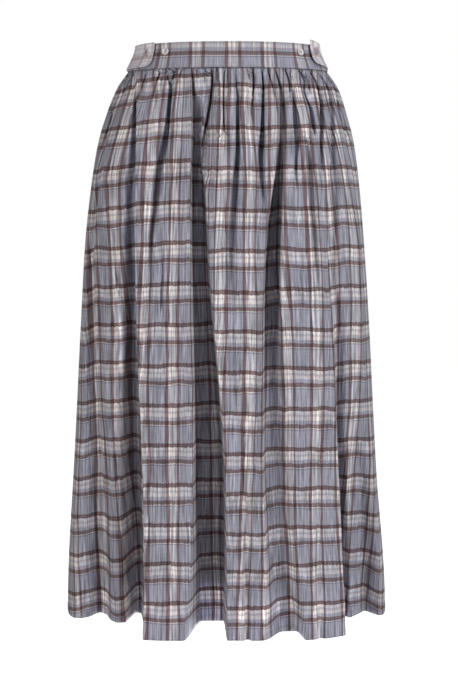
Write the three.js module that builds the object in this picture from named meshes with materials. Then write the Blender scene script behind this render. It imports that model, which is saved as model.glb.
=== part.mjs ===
// A gathered plaid skirt, filled out as if worn, hollow, and open at the waist and the hem.
// Millimetres, +Z up. The front faces -Y. The origin is the middle of the waist, level with
// the top edge of the waistband, so the whole skirt hangs below z = 0.

import * as THREE from "three";

// Driving sizes.
const BAND_HEIGHT = 34;
const BAND_WALL = 3.2;
const SKIRT_LENGTH = 756;
const SKIRT_WALL = 1.2;
const LINING_SHORTER = 50;
const LINING_WALL = 1;
const SEAM_GAP = 0.3;
const BAND_TURN = 4.5;
const SIDE_DROP = 6;
const VALLEY_LIFT = 0.09;
const BUTTON_DIAMETER = 10;
const BUTTON_THICK = 2.4;
const TAB_WALL = 2;
const TAB_HEIGHT = 33;

// The bare ring that the folds are laid on, by the distance below the top edge.
// square is the power of the superellipse: 2 is an ellipse, more is squarer.
const PROFILE = [
  { below: 0, halfWidth: 124.5, halfDepth: 97.5, square: 2.05, sway: 0 },
  { below: 34, halfWidth: 137.5, halfDepth: 99.5, square: 2.05, sway: 0 },
  { below: 58, halfWidth: 152, halfDepth: 106, square: 2.1, sway: 0 },
  { below: 85, halfWidth: 163, halfDepth: 111, square: 2.15, sway: -1 },
  { below: 126, halfWidth: 175.5, halfDepth: 116, square: 2.2, sway: -2 },
  { below: 181, halfWidth: 184.5, halfDepth: 121, square: 2.2, sway: -3 },
  { below: 264, halfWidth: 193, halfDepth: 127, square: 2.25, sway: -4 },
  { below: 374, halfWidth: 200, halfDepth: 133, square: 2.3, sway: -3.5 },
  { below: 574, halfWidth: 210.7, halfDepth: 142, square: 2.4, sway: -3.5 },
  { below: 791, halfWidth: 222.5, halfDepth: 149, square: 2.5, sway: -1.5 },
];

// Each fold is a trough that runs from the waistband to the hem. Its two edges are turns in
// degrees from the middle of its panel, at three heights, and its depths are in millimetres.
// A steep fold has upright walls and a flat floor.
const FOLD_HEIGHTS = [40, 310, SKIRT_LENGTH];
const FRONT_FOLDS = [
  { name: "left side", steep: false, from: [-88, -87, -86], to: [-60, -54, -41], depth: [0, 4, 48] },
  { name: "far left", steep: true, from: [-80, -77, -69], to: [-76, -70, -60], depth: [2, 11, 28] },
  { name: "left", steep: true, from: [-60, -54, -51], to: [-57, -47, -41], depth: [7, 22, 62] },
  { name: "centre", steep: true, from: [-23, -19, -17], to: [-20, -8, 0], depth: [8, 30, 85] },
  { name: "right", steep: true, from: [34, 22, 24], to: [37, 31, 37], depth: [6, 18, 50] },
  { name: "far right", steep: true, from: [66, 56, 57], to: [70, 63, 66], depth: [7, 16, 42] },
  { name: "right side", steep: false, from: [66, 56, 57], to: [88, 88, 88], depth: [0, 3, 36] },
];
const BACK_FOLDS = [
  { name: "back far left", steep: true, from: [-74, -72, -70], to: [-70, -66, -61], depth: [5, 15, 40] },
  { name: "back left", steep: true, from: [-47, -46, -47], to: [-43, -38, -35], depth: [7, 22, 60] },
  { name: "back centre", steep: true, from: [-15, -13, -12], to: [-11, -4, 1], depth: [8, 26, 70] },
  { name: "back right", steep: true, from: [19, 22, 24], to: [23, 30, 36], depth: [6, 20, 52] },
  { name: "back far right", steep: true, from: [52, 54, 56], to: [57, 62, 67], depth: [7, 18, 46] },
];
const STEEP_POWER = 4;
const ROUND_POWER = 2;
const FOLD_LEAN = 0.5;
const FOLD_START = 25;

// Small gathers below the waistband: every second column of a face is drawn in.
const GATHER_DEPTH = 4.5;
const GATHER_START = 12;
const GATHER_END = 210;

// Rows of cloth, as distances below the seam of the waistband.
const SKIRT_ROWS = [0, 12, 42, 90, 155, 235, 330, 440, 555, 665, SKIRT_LENGTH];
const LINING_ROWS = [0, 12, 42, 90, 235, 440, 555, 665, SKIRT_LENGTH - LINING_SHORTER];
const SKIRT_COLUMNS = 66;
const LINING_COLUMNS = 28;
const COUNTING_ROW = 440;
const MEASURING_STEPS = 40;
const BAND_COLUMNS = 28;

// The lining is cut slimmer than the skirt and is dented where a trough reaches it.
const LINING_TOP_EASE = 2.1;
const LINING_EASE = 15;
const LINING_EASE_START = 14;
const LINING_FULL_EASE = 160;
const LINING_NEAR_EASE = 8;
const LINING_CLEAR = 5;
const LINING_MARGIN = 6.5;
const MARGIN_STEPS = [-1, -0.6, -0.3, 0, 0.3, 0.6, 1];

// Turns in degrees, from the front middle of the waistband, of what is sewn and buttoned on it.
// The band sits a little turned on the waist, so BAND_TURN is added to each.
const TABS = [
  { name: "tab_left", end: -60.5, sewn: -103, lift: 0.6 },
  { name: "tab_right", end: 60.5, sewn: 95, lift: 3.4 },
];
const TAB_CORNER = 11;
const TAB_CORNER_END = TAB_HEIGHT + 1;
const TAB_ROWS = [0.5, 7, 14, 20, 25, 29, 32, TAB_HEIGHT];
const TAB_COLUMNS = 11;
const BAND_LENGTH_PER_DEGREE = 2.05;
const BUTTON_SIDES = 18;
const BUTTON_CURVE_STEPS = 2;
const BUTTONS = [
  { name: "button_tab_left", turn: -66, below: 13.5, tab: "tab_left", gap: 0.3 },
  { name: "button_band_left", turn: -51.5, below: 12, tab: null, gap: 0.3 },
  { name: "button_band_right", turn: 51.5, below: 12, tab: null, gap: 0.3 },
  { name: "button_tab_right", turn: 66, below: 10, tab: "tab_right", gap: 0.6 },
];

const COLOURS = {
  cloth: { color: 0x8e8d96, roughness: 0.9, metalness: 0 },
  lining: { color: 0xb9bac2, roughness: 0.85, metalness: 0 },
  button: { color: 0xb9b1ba, roughness: 0.35, metalness: 0 },
};

const FRONT_MIDDLE = 0;
const BACK_MIDDLE = 180;
const SIDE_TURN = 90;
const radians = THREE.MathUtils.degToRad;
const smooth = THREE.MathUtils.smoothstep;

// A profile column at a distance below the top edge, on straight lines between the rows.
function profileAt(below, column) {
  const last = PROFILE.length - 1;
  const upper = Math.max(0, Math.min(last - 1, PROFILE.findLastIndex((row) => row.below <= below)));
  const [a, b] = [PROFILE[upper], PROFILE[upper + 1]];
  return THREE.MathUtils.mapLinear(below, a.below, b.below, a[column], b[column]);
}

// A value given at the three fold heights, on the parabola through them.
function foldValue(values, down) {
  const [h0, h1, h2] = FOLD_HEIGHTS;
  const w0 = ((down - h1) * (down - h2)) / ((h0 - h1) * (h0 - h2));
  const w1 = ((down - h0) * (down - h2)) / ((h1 - h0) * (h1 - h2));
  const w2 = ((down - h0) * (down - h1)) / ((h2 - h0) * (h2 - h1));
  return values[0] * w0 + values[1] * w1 + values[2] * w2;
}

// The bare ring in plan, at a turn from the front middle, shrunk by ease all round.
function ringPoint(turn, below, ease = 0) {
  const power = profileAt(below, "square");
  const across = Math.abs(Math.sin(radians(turn))) / (profileAt(below, "halfWidth") - ease);
  const along = Math.abs(Math.cos(radians(turn))) / (profileAt(below, "halfDepth") - ease);
  const radius = (across ** power + along ** power) ** (-1 / power);
  const x = radius * Math.sin(radians(turn)) + profileAt(below, "sway");
  return new THREE.Vector2(x, -radius * Math.cos(radians(turn)));
}

// How deep one fold is at a turn from its panel's middle.
function foldDepth(fold, offset, down) {
  const from = foldValue(fold.from, down);
  const to = foldValue(fold.to, down);
  const place = Math.abs((2 * offset - from - to) / (to - from));
  if (place >= 1) {
    return 0;
  }
  return foldValue(fold.depth, down) * (1 - place ** (fold.steep ? STEEP_POWER : ROUND_POWER));
}

// How far all folds of a panel draw the skirt's cloth in.
function skirtInset(panel, offset, down) {
  let inset = 0;
  for (const fold of panel.folds) {
    inset += foldDepth(fold, offset, down);
  }
  return Math.max(0, inset * smooth(down, 0, FOLD_START));
}

function liningEase(down) {
  const near = LINING_NEAR_EASE * smooth(down, 0, LINING_EASE_START);
  return LINING_TOP_EASE + near + (LINING_EASE - LINING_NEAR_EASE) * smooth(down, 0, LINING_FULL_EASE);
}

// How deep the skirt's troughs come near one stretch of the lining.
function nearestTrough(panel, offset, down) {
  const margin = THREE.MathUtils.radToDeg(LINING_MARGIN / profileAt(down + BAND_HEIGHT, "halfDepth"));
  let deepest = 0;
  for (const side of MARGIN_STEPS) {
    deepest = Math.max(deepest, skirtInset(panel, offset + side * margin, down));
  }
  return deepest;
}

// A point of cloth on its panel, in space. inset draws it in, leaning to the panel's middle.
function clothPoint(panel, offset, down, inset, ease) {
  const below = down + BAND_HEIGHT + SEAM_GAP;
  const plan = ringPoint(panel.middle + offset, below, ease);
  const lean = radians(panel.middle + offset * FOLD_LEAN);
  const drop = SIDE_DROP * Math.sin(radians(offset)) ** 2 * smooth(down, 0, GATHER_END);
  const x = plan.x - inset * Math.sin(lean);
  const y = plan.y + inset * Math.cos(lean);
  return new THREE.Vector3(x, y, -below - drop + inset * VALLEY_LIFT * smooth(down, 0, SKIRT_LENGTH));
}

// The turns, at one height, between which columns are laid: the edges and floors of the
// steep folds, and the two side seams. So every third stretch from the first is a face.
function anchorsAt(panel, down) {
  const anchors = [-SIDE_TURN];
  for (const fold of panel.folds.filter((row) => row.steep)) {
    const [from, to] = [foldValue(fold.from, down), foldValue(fold.to, down)];
    anchors.push(from, (from + to) / 2, to);
  }
  anchors.push(SIDE_TURN);
  return anchors;
}

// The lengths along the cloth from one turn to the next steps between it and another.
function lengthsAlong(from, to, pointAt) {
  const lengths = [0];
  let before = pointAt(from);
  for (let i = 1; i <= MEASURING_STEPS; i += 1) {
    const point = pointAt(THREE.MathUtils.lerp(from, to, i / MEASURING_STEPS));
    lengths.push(lengths[i - 1] + point.distanceTo(before));
    before = point;
  }
  return lengths;
}

// Turns spaced evenly along the cloth between two anchors, without the second one.
function spacedTurns(from, to, count, pointAt) {
  const lengths = lengthsAlong(from, to, pointAt);
  const turns = [];
  let i = 0;
  for (let k = 0; k < count; k += 1) {
    const target = (lengths[MEASURING_STEPS] * k) / count;
    while (i < MEASURING_STEPS - 1 && lengths[i + 1] < target) {
      i += 1;
    }
    const part = THREE.MathUtils.clamp((target - lengths[i]) / (lengths[i + 1] - lengths[i]), 0, 1);
    turns.push(THREE.MathUtils.lerp(from, to, (i + part) / MEASURING_STEPS));
  }
  return turns;
}

// How many columns each stretch between anchors gets, by its length at one row.
function columnCounts(panel, total, pointAt) {
  const anchors = anchorsAt(panel, COUNTING_ROW);
  const lengths = anchors.slice(1).map((anchor, k) => {
    return lengthsAlong(anchors[k], anchor, (turn) => pointAt(turn, COUNTING_ROW))[MEASURING_STEPS];
  });
  const sum = lengths.reduce((a, b) => a + b);
  return lengths.map((length) => Math.max(2, Math.round((total * length) / sum)));
}

// The rows of points of a panel's outer side.
function clothRows(panel, rows, total, pointAt, gathered) {
  const counts = columnCounts(panel, total, pointAt);
  return rows.map((down) => {
    const anchors = anchorsAt(panel, down);
    const draw = smooth(down, 0, GATHER_START) * (1 - smooth(down, GATHER_START, GATHER_END));
    const row = [];
    counts.forEach((count, k) => {
      const isFace = k % 3 === 0;
      spacedTurns(anchors[k], anchors[k + 1], count, (turn) => pointAt(turn, down)).forEach((turn, i) => {
        const drawnIn = gathered && isFace && i % 2 === 1 ? GATHER_DEPTH * draw : 0;
        row.push(pointAt(turn, down, drawnIn));
      });
    });
    row.push(pointAt(SIDE_TURN, down));
    closeSeams(row, panel);
    return row;
  });
}

// Sets the two end columns half a seam gap from the side plane.
function closeSeams(row, panel) {
  const y = (panel.middle === FRONT_MIDDLE ? -1 : 1) * (SEAM_GAP / 2);
  row[0].y = y;
  row[row.length - 1].y = y;
}

// A row moved in by the wall's thickness, across the row and level.
function movedIn(row, wall, sideEnds) {
  return row.map((point, i) => {
    const before = row[Math.max(0, i - 1)];
    const after = row[Math.min(row.length - 1, i + 1)];
    const along = new THREE.Vector2(after.x - before.x, after.y - before.y);
    if (sideEnds && (i === 0 || i === row.length - 1)) {
      along.set(0, Math.sign(along.y));
    }
    along.normalize();
    return new THREE.Vector3(point.x - along.y * wall, point.y + along.x * wall, point.z);
  });
}

// A closed wall between rows of outer points, top row first, and the same rows moved in.
function wallGeometry(outer, wall, sideEnds = false) {
  const inner = outer.map((row) => movedIn(row, wall, sideEnds));
  const [height, width] = [outer.length, outer[0].length];
  const points = [...outer.flat(), ...inner.flat()];
  const out = (i, j) => i * width + j;
  const within = (i, j) => height * width + i * width + j;
  const index = [];
  const quad = (a, b, c, d) => index.push(a, b, c, a, c, d);
  for (let i = 0; i + 1 < height; i += 1) {
    for (let j = 0; j + 1 < width; j += 1) {
      quad(out(i, j), out(i + 1, j), out(i + 1, j + 1), out(i, j + 1));
      quad(within(i, j), within(i, j + 1), within(i + 1, j + 1), within(i + 1, j));
    }
    quad(out(i, 0), within(i, 0), within(i + 1, 0), out(i + 1, 0));
    quad(out(i, width - 1), out(i + 1, width - 1), within(i + 1, width - 1), within(i, width - 1));
  }
  for (let j = 0; j + 1 < width; j += 1) {
    quad(out(0, j), out(0, j + 1), within(0, j + 1), within(0, j));
    const end = height - 1;
    quad(out(end, j), within(end, j), within(end, j + 1), out(end, j + 1));
  }
  const geometry = new THREE.BufferGeometry();
  const numbers = new Float32Array(points.flatMap((point) => point.toArray()));
  geometry.setAttribute("position", new THREE.BufferAttribute(numbers, 3));
  geometry.setIndex(index);
  geometry.computeVertexNormals();
  return geometry;
}

function skirtPanel(panel) {
  const pointAt = (offset, down, drawnIn = 0) => {
    return clothPoint(panel, offset, down, skirtInset(panel, offset, down) + drawnIn, SEAM_GAP);
  };
  return wallGeometry(clothRows(panel, SKIRT_ROWS, SKIRT_COLUMNS, pointAt, true), SKIRT_WALL, true);
}

// The lining hangs on its own slimmer ring, and behind the skirt's troughs it is pushed in by them.
function liningPanel(panel) {
  const pointAt = (offset, down) => {
    const ease = liningEase(down);
    const trough = nearestTrough(panel, offset, down);
    const pushed = smooth(trough, 0, ease);
    const inset = (trough + LINING_CLEAR * smooth(down, 0, FOLD_START)) * pushed;
    return clothPoint(panel, offset, down, inset, ease * (1 - pushed) + SKIRT_WALL * pushed);
  };
  return wallGeometry(clothRows(panel, LINING_ROWS, LINING_COLUMNS, pointAt, false), LINING_WALL, true);
}

// Half of the waistband, between the side seams.
function waistband(panel) {
  const rows = [0, BAND_HEIGHT / 2, BAND_HEIGHT].map((below) => {
    const row = [];
    for (let j = 0; j <= BAND_COLUMNS; j += 1) {
      const turn = THREE.MathUtils.lerp(-SIDE_TURN, SIDE_TURN, j / BAND_COLUMNS);
      const plan = ringPoint(panel.middle + turn, below);
      row.push(new THREE.Vector3(plan.x, plan.y, -below));
    }
    closeSeams(row, panel);
    return row;
  });
  return wallGeometry(rows, BAND_WALL, true);
}

// A point on the waistband's outer side, moved out by lift, and the way out from there.
function bandPoint(turn, below, lift) {
  const at = (t, b) => new THREE.Vector3(...ringPoint(t, b).toArray(), -b);
  const along = at(turn + 0.5, below).sub(at(turn - 0.5, below));
  const down = at(turn, below + 1).sub(at(turn, below - 1));
  const out = down.cross(along).normalize();
  return { point: at(turn, below).addScaledVector(out, lift), out };
}

// How far a tab's outer side stands off the waistband, part being 0 where it is sewn, 1 at its end.
function tabLift(tab, part) {
  return SEAM_GAP + TAB_WALL + tab.lift * part ** 3;
}

// A tab lies on the band from where it is sewn to its free end, which has a round lower corner.
function tabGeometry(tab) {
  const sign = Math.sign(tab.end);
  const rows = TAB_ROWS.map((below) => {
    const intoCorner = Math.max(0, below - (TAB_CORNER_END - TAB_CORNER)) / TAB_CORNER;
    const back = (TAB_CORNER * (1 - Math.sqrt(1 - intoCorner ** 2))) / BAND_LENGTH_PER_DEGREE;
    const row = [];
    for (let j = 0; j <= TAB_COLUMNS; j += 1) {
      const part = j / TAB_COLUMNS;
      const turn = THREE.MathUtils.lerp(tab.sewn, tab.end + sign * back, part) + BAND_TURN;
      row.push(bandPoint(turn, below, tabLift(tab, part)).point);
    }
    return sign > 0 ? row.reverse() : row;
  });
  return wallGeometry(rows, TAB_WALL);
}

// A round dished button, its flat back at z = 0 and its face towards +Z.
function buttonGeometry() {
  const radius = BUTTON_DIAMETER / 2;
  const outline = new THREE.Path();
  outline.moveTo(0, 0);
  outline.lineTo(radius * 0.8, 0);
  outline.quadraticCurveTo(radius, 0, radius, BUTTON_THICK * 0.55);
  outline.quadraticCurveTo(radius, BUTTON_THICK, radius * 0.84, BUTTON_THICK);
  outline.quadraticCurveTo(radius * 0.66, BUTTON_THICK, radius * 0.6, BUTTON_THICK * 0.66);
  outline.lineTo(0, BUTTON_THICK * 0.6);
  const geometry = new THREE.LatheGeometry(outline.getPoints(BUTTON_CURVE_STEPS), BUTTON_SIDES);
  return geometry.rotateX(Math.PI / 2);
}

function placeButton(mesh, button) {
  const tab = TABS.find((row) => row.name === button.tab);
  const turn = button.turn + BAND_TURN;
  const part = tab ? (button.turn - tab.sewn) / (tab.end - tab.sewn) : 0;
  const lift = button.gap + (tab ? tabLift(tab, part) : 0);
  const { point, out } = bandPoint(turn, button.below, lift);
  mesh.position.copy(point);
  mesh.quaternion.setFromUnitVectors(new THREE.Vector3(0, 0, 1), out);
}

function addMesh(group, name, geometry, colour) {
  const mesh = new THREE.Mesh(geometry, new THREE.MeshStandardMaterial(colour));
  mesh.name = name;
  group.add(mesh);
  return mesh;
}

const PANELS = [
  { name: "front", middle: FRONT_MIDDLE, folds: FRONT_FOLDS },
  { name: "back", middle: BACK_MIDDLE, folds: BACK_FOLDS },
];

const skirt = new THREE.Group();
for (const panel of PANELS) {
  addMesh(skirt, `waistband_${panel.name}`, waistband(panel), COLOURS.cloth);
  addMesh(skirt, `skirt_${panel.name}`, skirtPanel(panel), COLOURS.cloth);
  addMesh(skirt, `lining_${panel.name}`, liningPanel(panel), COLOURS.lining);
}
for (const tab of TABS) {
  addMesh(skirt, tab.name, tabGeometry(tab), COLOURS.cloth);
}
for (const button of BUTTONS) {
  placeButton(addMesh(skirt, button.name, buttonGeometry(), COLOURS.button), button);
}

export default skirt;
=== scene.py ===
"""A gathered plaid skirt, filled out as worn: waistband, cloth, lining, adjuster tabs and buttons.

The driving sizes are in millimetres and become metres when a mesh is made. The front faces -Y,
and the origin is the middle of the waist at the top edge of the waistband.
"""

from __future__ import annotations

import logging
import math
import random
from dataclasses import dataclass, field, replace
from enum import Enum

import bpy
import numpy as np
from mathutils import Matrix, Vector

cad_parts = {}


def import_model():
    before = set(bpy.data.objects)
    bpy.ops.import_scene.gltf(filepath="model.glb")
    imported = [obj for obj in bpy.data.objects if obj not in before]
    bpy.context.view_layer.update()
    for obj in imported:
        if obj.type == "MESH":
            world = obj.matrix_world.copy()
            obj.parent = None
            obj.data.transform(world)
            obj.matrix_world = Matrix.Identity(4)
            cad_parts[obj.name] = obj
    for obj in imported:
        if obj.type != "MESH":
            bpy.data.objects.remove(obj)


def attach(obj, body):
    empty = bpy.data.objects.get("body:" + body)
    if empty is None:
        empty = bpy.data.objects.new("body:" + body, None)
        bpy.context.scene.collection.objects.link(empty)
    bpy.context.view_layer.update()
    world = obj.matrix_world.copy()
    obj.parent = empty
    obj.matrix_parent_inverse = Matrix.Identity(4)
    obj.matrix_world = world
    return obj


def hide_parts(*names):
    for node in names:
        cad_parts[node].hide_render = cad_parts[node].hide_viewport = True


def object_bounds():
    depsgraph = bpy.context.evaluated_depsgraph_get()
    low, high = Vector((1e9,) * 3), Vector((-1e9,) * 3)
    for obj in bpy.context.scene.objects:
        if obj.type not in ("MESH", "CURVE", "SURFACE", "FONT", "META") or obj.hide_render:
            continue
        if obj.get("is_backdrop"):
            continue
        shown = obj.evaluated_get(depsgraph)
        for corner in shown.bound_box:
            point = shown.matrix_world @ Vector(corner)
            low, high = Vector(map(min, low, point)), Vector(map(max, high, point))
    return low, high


LOG = logging.getLogger("skirt")
MM = 0.001
ROOT = "root"
CLOTH_UV = "cloth"

# The pieces. The turns are in degrees: of a side seam, and of the waistband's fittings towards +X.
BAND_HEIGHT = 34.0
SKIRT_LENGTH = 756.0
SKIRT_WALL = 0.7
TAB_HEIGHT = 33.0
TAB_WALL = 1.8
TAB_CORNER = 11.0
SEAM_GAP = 0.3
SIDE_TURN = 90.0
BAND_TURN = 4.5
BAND_MM_PER_DEGREE = 2.05

# How the cloth hangs: the drop of its sides at the hip, their rise to the hem, and the lift of a
# trough for each millimetre that it is deep.
SIDE_DROP = 6.0
SIDE_DROP_FULL = 210.0
SIDE_RISE = 20.0
SIDE_RISE_START = 420.0
VALLEY_LIFT = 0.09

# The soft dip about a crease: its reach in widths of the crease, its least width and most depth.
SHOULDER_REACH = 1.15
SHOULDER_WIDTH = 5.0
SHOULDER_DEPTH = 2.4

Array = np.ndarray
Colour = tuple[float, float, float]
Material = bpy.types.Material
Pair = tuple[float, float]
Piece = bpy.types.Object
Point = tuple[float, float, float]
Row = tuple[float, float, float, float]
Socket = bpy.types.NodeSocket


class Yarn(Enum):
    """The dyed yarns, each as the square root of its linear colour, so that two cross by a product."""

    SLATE = (0.602, 0.604, 0.664)
    ASH = (0.700, 0.688, 0.712)
    IVORY = (0.935, 0.900, 0.890)
    BROWN = (0.325, 0.242, 0.242)
    TAUPE = (0.335, 0.252, 0.258)
    UMBER = (0.262, 0.186, 0.186)
    INK = (0.420, 0.410, 0.480)


@dataclass(frozen=True)
class Stripe:
    """One stripe of a yarn, by its width in the flat cloth."""

    yarn: Yarn
    width: float


WARP = (
    Stripe(Yarn.TAUPE, 4.9), Stripe(Yarn.IVORY, 3.6), Stripe(Yarn.SLATE, 2.0),
    Stripe(Yarn.IVORY, 3.7), Stripe(Yarn.ASH, 3.8), Stripe(Yarn.TAUPE, 4.4),
    Stripe(Yarn.SLATE, 14.5), Stripe(Yarn.INK, 0.9), Stripe(Yarn.IVORY, 1.0),
    Stripe(Yarn.SLATE, 9.5),
)
WEFT = (
    Stripe(Yarn.UMBER, 1.9), Stripe(Yarn.BROWN, 1.8), Stripe(Yarn.UMBER, 1.9),
    Stripe(Yarn.IVORY, 4.1), Stripe(Yarn.ASH, 3.3), Stripe(Yarn.IVORY, 4.7),
    Stripe(Yarn.SLATE, 4.7), Stripe(Yarn.BROWN, 2.0), Stripe(Yarn.TAUPE, 1.3),
    Stripe(Yarn.BROWN, 2.2), Stripe(Yarn.IVORY, 1.1), Stripe(Yarn.INK, 1.8),
    Stripe(Yarn.SLATE, 22.3),
)

# Where the stripes start, how much the crinkle narrows the cloth, a yarn and its gap, and how far
# the rows of the plaid hang low at the side seams, by the distance down.
FIRST_WEFT = 9.5
BAND_FIRST_WEFT = -10.0
BAND_FIRST_WARP = -3.8
CRINKLE_TAKE_UP = 0.735
YARN_PITCH = 0.9
SLIP_HEIGHTS = (0.0, 100.0, 210.0, 600.0, SKIRT_LENGTH)
SIDE_SLIPS = (8.5, 5.0, 2.5, 2.5, -2.5)


# --- small mathematics ---


def smooth(value: Array | float, low: float, high: float) -> Array | float:
    """A smooth step from 0 at low to 1 at high."""
    part = np.clip((value - low) / (high - low), 0.0, 1.0)
    return part * part * (3.0 - 2.0 * part)


def ease(part: Array) -> Array:
    """A smooth step over 0 to 1."""
    return smooth(part, 0.0, 1.0)


def side_rise(down: float, offsets: Array) -> Array:
    """How far the cloth is drawn up beside the side seams, more towards the hem."""
    return SIDE_RISE * np.sin(np.radians(offsets)) ** 8 * smooth(down, SIDE_RISE_START, SKIRT_LENGTH)


def monotone(places: Array, values: Array, at: float) -> float:
    """A smooth curve through stations that never overshoots them.

    Args:
        places: The stations, rising.
        values: The values there.
        at: Where the curve is read; past the ends it stays level.

    Returns:
        The value on the curve.
    """
    if at <= places[0]:
        return float(values[0])
    if at >= places[-1]:
        return float(values[-1])
    steps = np.diff(places)
    slopes = np.diff(values) / steps
    tangents = np.zeros(len(values))
    for k in range(1, len(values) - 1):
        before, after = slopes[k - 1], slopes[k]
        if before * after > 0:
            tangents[k] = 2.0 * before * after / (before + after)
    k = int(np.searchsorted(places, at, side="right")) - 1
    part = (at - places[k]) / steps[k]
    start, end = values[k], values[k + 1]
    pull_start, pull_end = tangents[k] * steps[k], tangents[k + 1] * steps[k]
    return float(
        start * (1 + 2 * part) * (1 - part) ** 2
        + pull_start * part * (1 - part) ** 2
        + end * part**2 * (3 - 2 * part)
        + pull_end * part**2 * (part - 1)
    )


def lengths_along(line: Array) -> Array:
    """The lengths along a line of points, from its start to each of them."""
    steps = np.linalg.norm(np.diff(line, axis=0), axis=1)
    return np.concatenate(([0.0], np.cumsum(steps)))


def outward(line: Array) -> Array:
    """The level ways out from a line of points that runs round the skirt.

    Args:
        line: The points, with the skirt's outside on the right of the way they run.

    Returns:
        Unit vectors in plan.
    """
    tangent = np.gradient(line[:, :2], axis=0)
    out = np.stack((tangent[:, 1], -tangent[:, 0]), axis=-1)
    return out / np.linalg.norm(out, axis=1, keepdims=True)


# --- the bare ring ---


@dataclass(frozen=True)
class Ring:
    """The skirt's plan without folds, by the distance below the top edge.

    Each row holds below, half width, half depth, squareness and sway to the right.
    """

    rows: tuple[tuple[float, float, float, float, float], ...] = (
        (0, 124.5, 97.5, 2.05, 0),
        (34, 137.5, 99.5, 2.05, 0),
        (58, 152, 106, 2.1, 0),
        (85, 163, 111, 2.15, -1),
        (126, 175.5, 116, 2.2, -2),
        (181, 184.5, 121, 2.2, -3),
        (264, 193, 127, 2.25, -4),
        (374, 200, 133, 2.3, -3.5),
        (574, 210.7, 142, 2.4, -3.5),
        (791, 222.5, 149, 2.5, -1.5),
    )

    def sizes(self, below: float) -> tuple[float, float, float, float]:
        """Half width, half depth, squareness and sway at one height."""
        table = np.array(self.rows, dtype=float)
        return tuple(monotone(table[:, 0], table[:, column], below) for column in (1, 2, 3, 4))

    def plan(self, turn: Array, below: float, drawn: Array | float = 0.0) -> Array:
        """Points of the ring in plan.

        Args:
            turn: Degrees from the front middle, towards +X.
            below: The distance below the top edge.
            drawn: How much smaller the ring is all round.

        Returns:
            An array of x and y.
        """
        wide, deep, power, sway = self.sizes(below)
        angle = np.radians(turn)
        across = np.abs(np.sin(angle)) / (wide - drawn)
        along = np.abs(np.cos(angle)) / (deep - drawn)
        radius = (across**power + along**power) ** (-1.0 / power)
        return np.stack((radius * np.sin(angle) + sway, -radius * np.cos(angle)), axis=-1)

    def band_point(self, turn: float, below: float, lift: float) -> tuple[Vector, Vector]:
        """A point on the waistband's outer side and the way out from it.

        Args:
            turn: Degrees from the front middle.
            below: The distance below the top edge.
            lift: How far the point stands off the band.

        Returns:
            The point in millimetres and the unit vector that leads outwards.
        """

        def at(where: float, depth: float) -> Vector:
            """A point of the band's bare surface."""
            x, y = self.plan(np.array(where), depth)
            return Vector((float(x), float(y), -depth))

        along = at(turn + 0.5, below) - at(turn - 0.5, below)
        down = at(turn, below + 1) - at(turn, below - 1) if below > 1 else at(turn, 2) - at(turn, 0)
        out = down.cross(along).normalized()
        return at(turn, below) + out * lift, out


RING = Ring()


# --- folds ---


@dataclass(frozen=True)
class Fold:
    """A trough in a panel, or a ridge where its depth is negative.

    Each station holds the distance down from the waist seam, the places of the left and right
    edges across the panel, and the depth. The wall shares say how much of the width each wall
    takes, so that a small share is a sharp edge; walls_down gives them by the distance down. A
    shoulder adds that share of the depth as a soft dip about the trough, which rounds the cloth on
    both sides of it. A broad fold isn't sharpened as the creases are.
    """

    name: str
    stations: tuple[Row, ...]
    walls: Pair = (0.5, 0.5)
    shoulder: float = 0.0
    walls_down: tuple[tuple[float, float, float], ...] = ()
    broad: bool = False

    def edges(self, down: float) -> Pair:
        """The left and right edges at one height."""
        table = np.array(self.stations, dtype=float)
        return monotone(table[:, 0], table[:, 1], down), monotone(table[:, 0], table[:, 2], down)

    def depth(self, down: float) -> float:
        """The depth at one height, nothing above or below the stations.

        Args:
            down: The distance down from the waist seam.

        Returns:
            The depth.
        """
        table = np.array(self.stations, dtype=float)
        if down < table[0, 0] or down > table[-1, 0]:
            return 0.0
        return monotone(table[:, 0], table[:, 3], down)

    def inset(self, across: Array, down: float) -> Array:
        """How far the fold draws in points of a row.

        Args:
            across: Places across the panel.
            down: The row's distance down from the waist seam.

        Returns:
            The inset at each place.
        """
        deep = self.depth(down)
        if deep == 0.0:
            return np.zeros_like(across)
        left, right = self.edges(down)
        part = (across - left) / (right - left)
        left_wall, right_wall = self.walls
        if self.walls_down:
            heights, lefts, rights = np.array(self.walls_down, dtype=float).T
            left_wall = float(np.interp(down, heights, lefts))
            right_wall = float(np.interp(down, heights, rights))
        core = deep * ease(part / left_wall) * ease((1.0 - part) / right_wall)
        if self.shoulder == 0.0:
            return core
        spare = max(right - left, SHOULDER_WIDTH) * SHOULDER_REACH
        reach = (across - left + spare) / (right - left + 2.0 * spare)
        dip = min(deep * self.shoulder, SHOULDER_DEPTH)
        return core + dip * ease(reach / 0.5) * ease((1.0 - reach) / 0.5)


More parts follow.
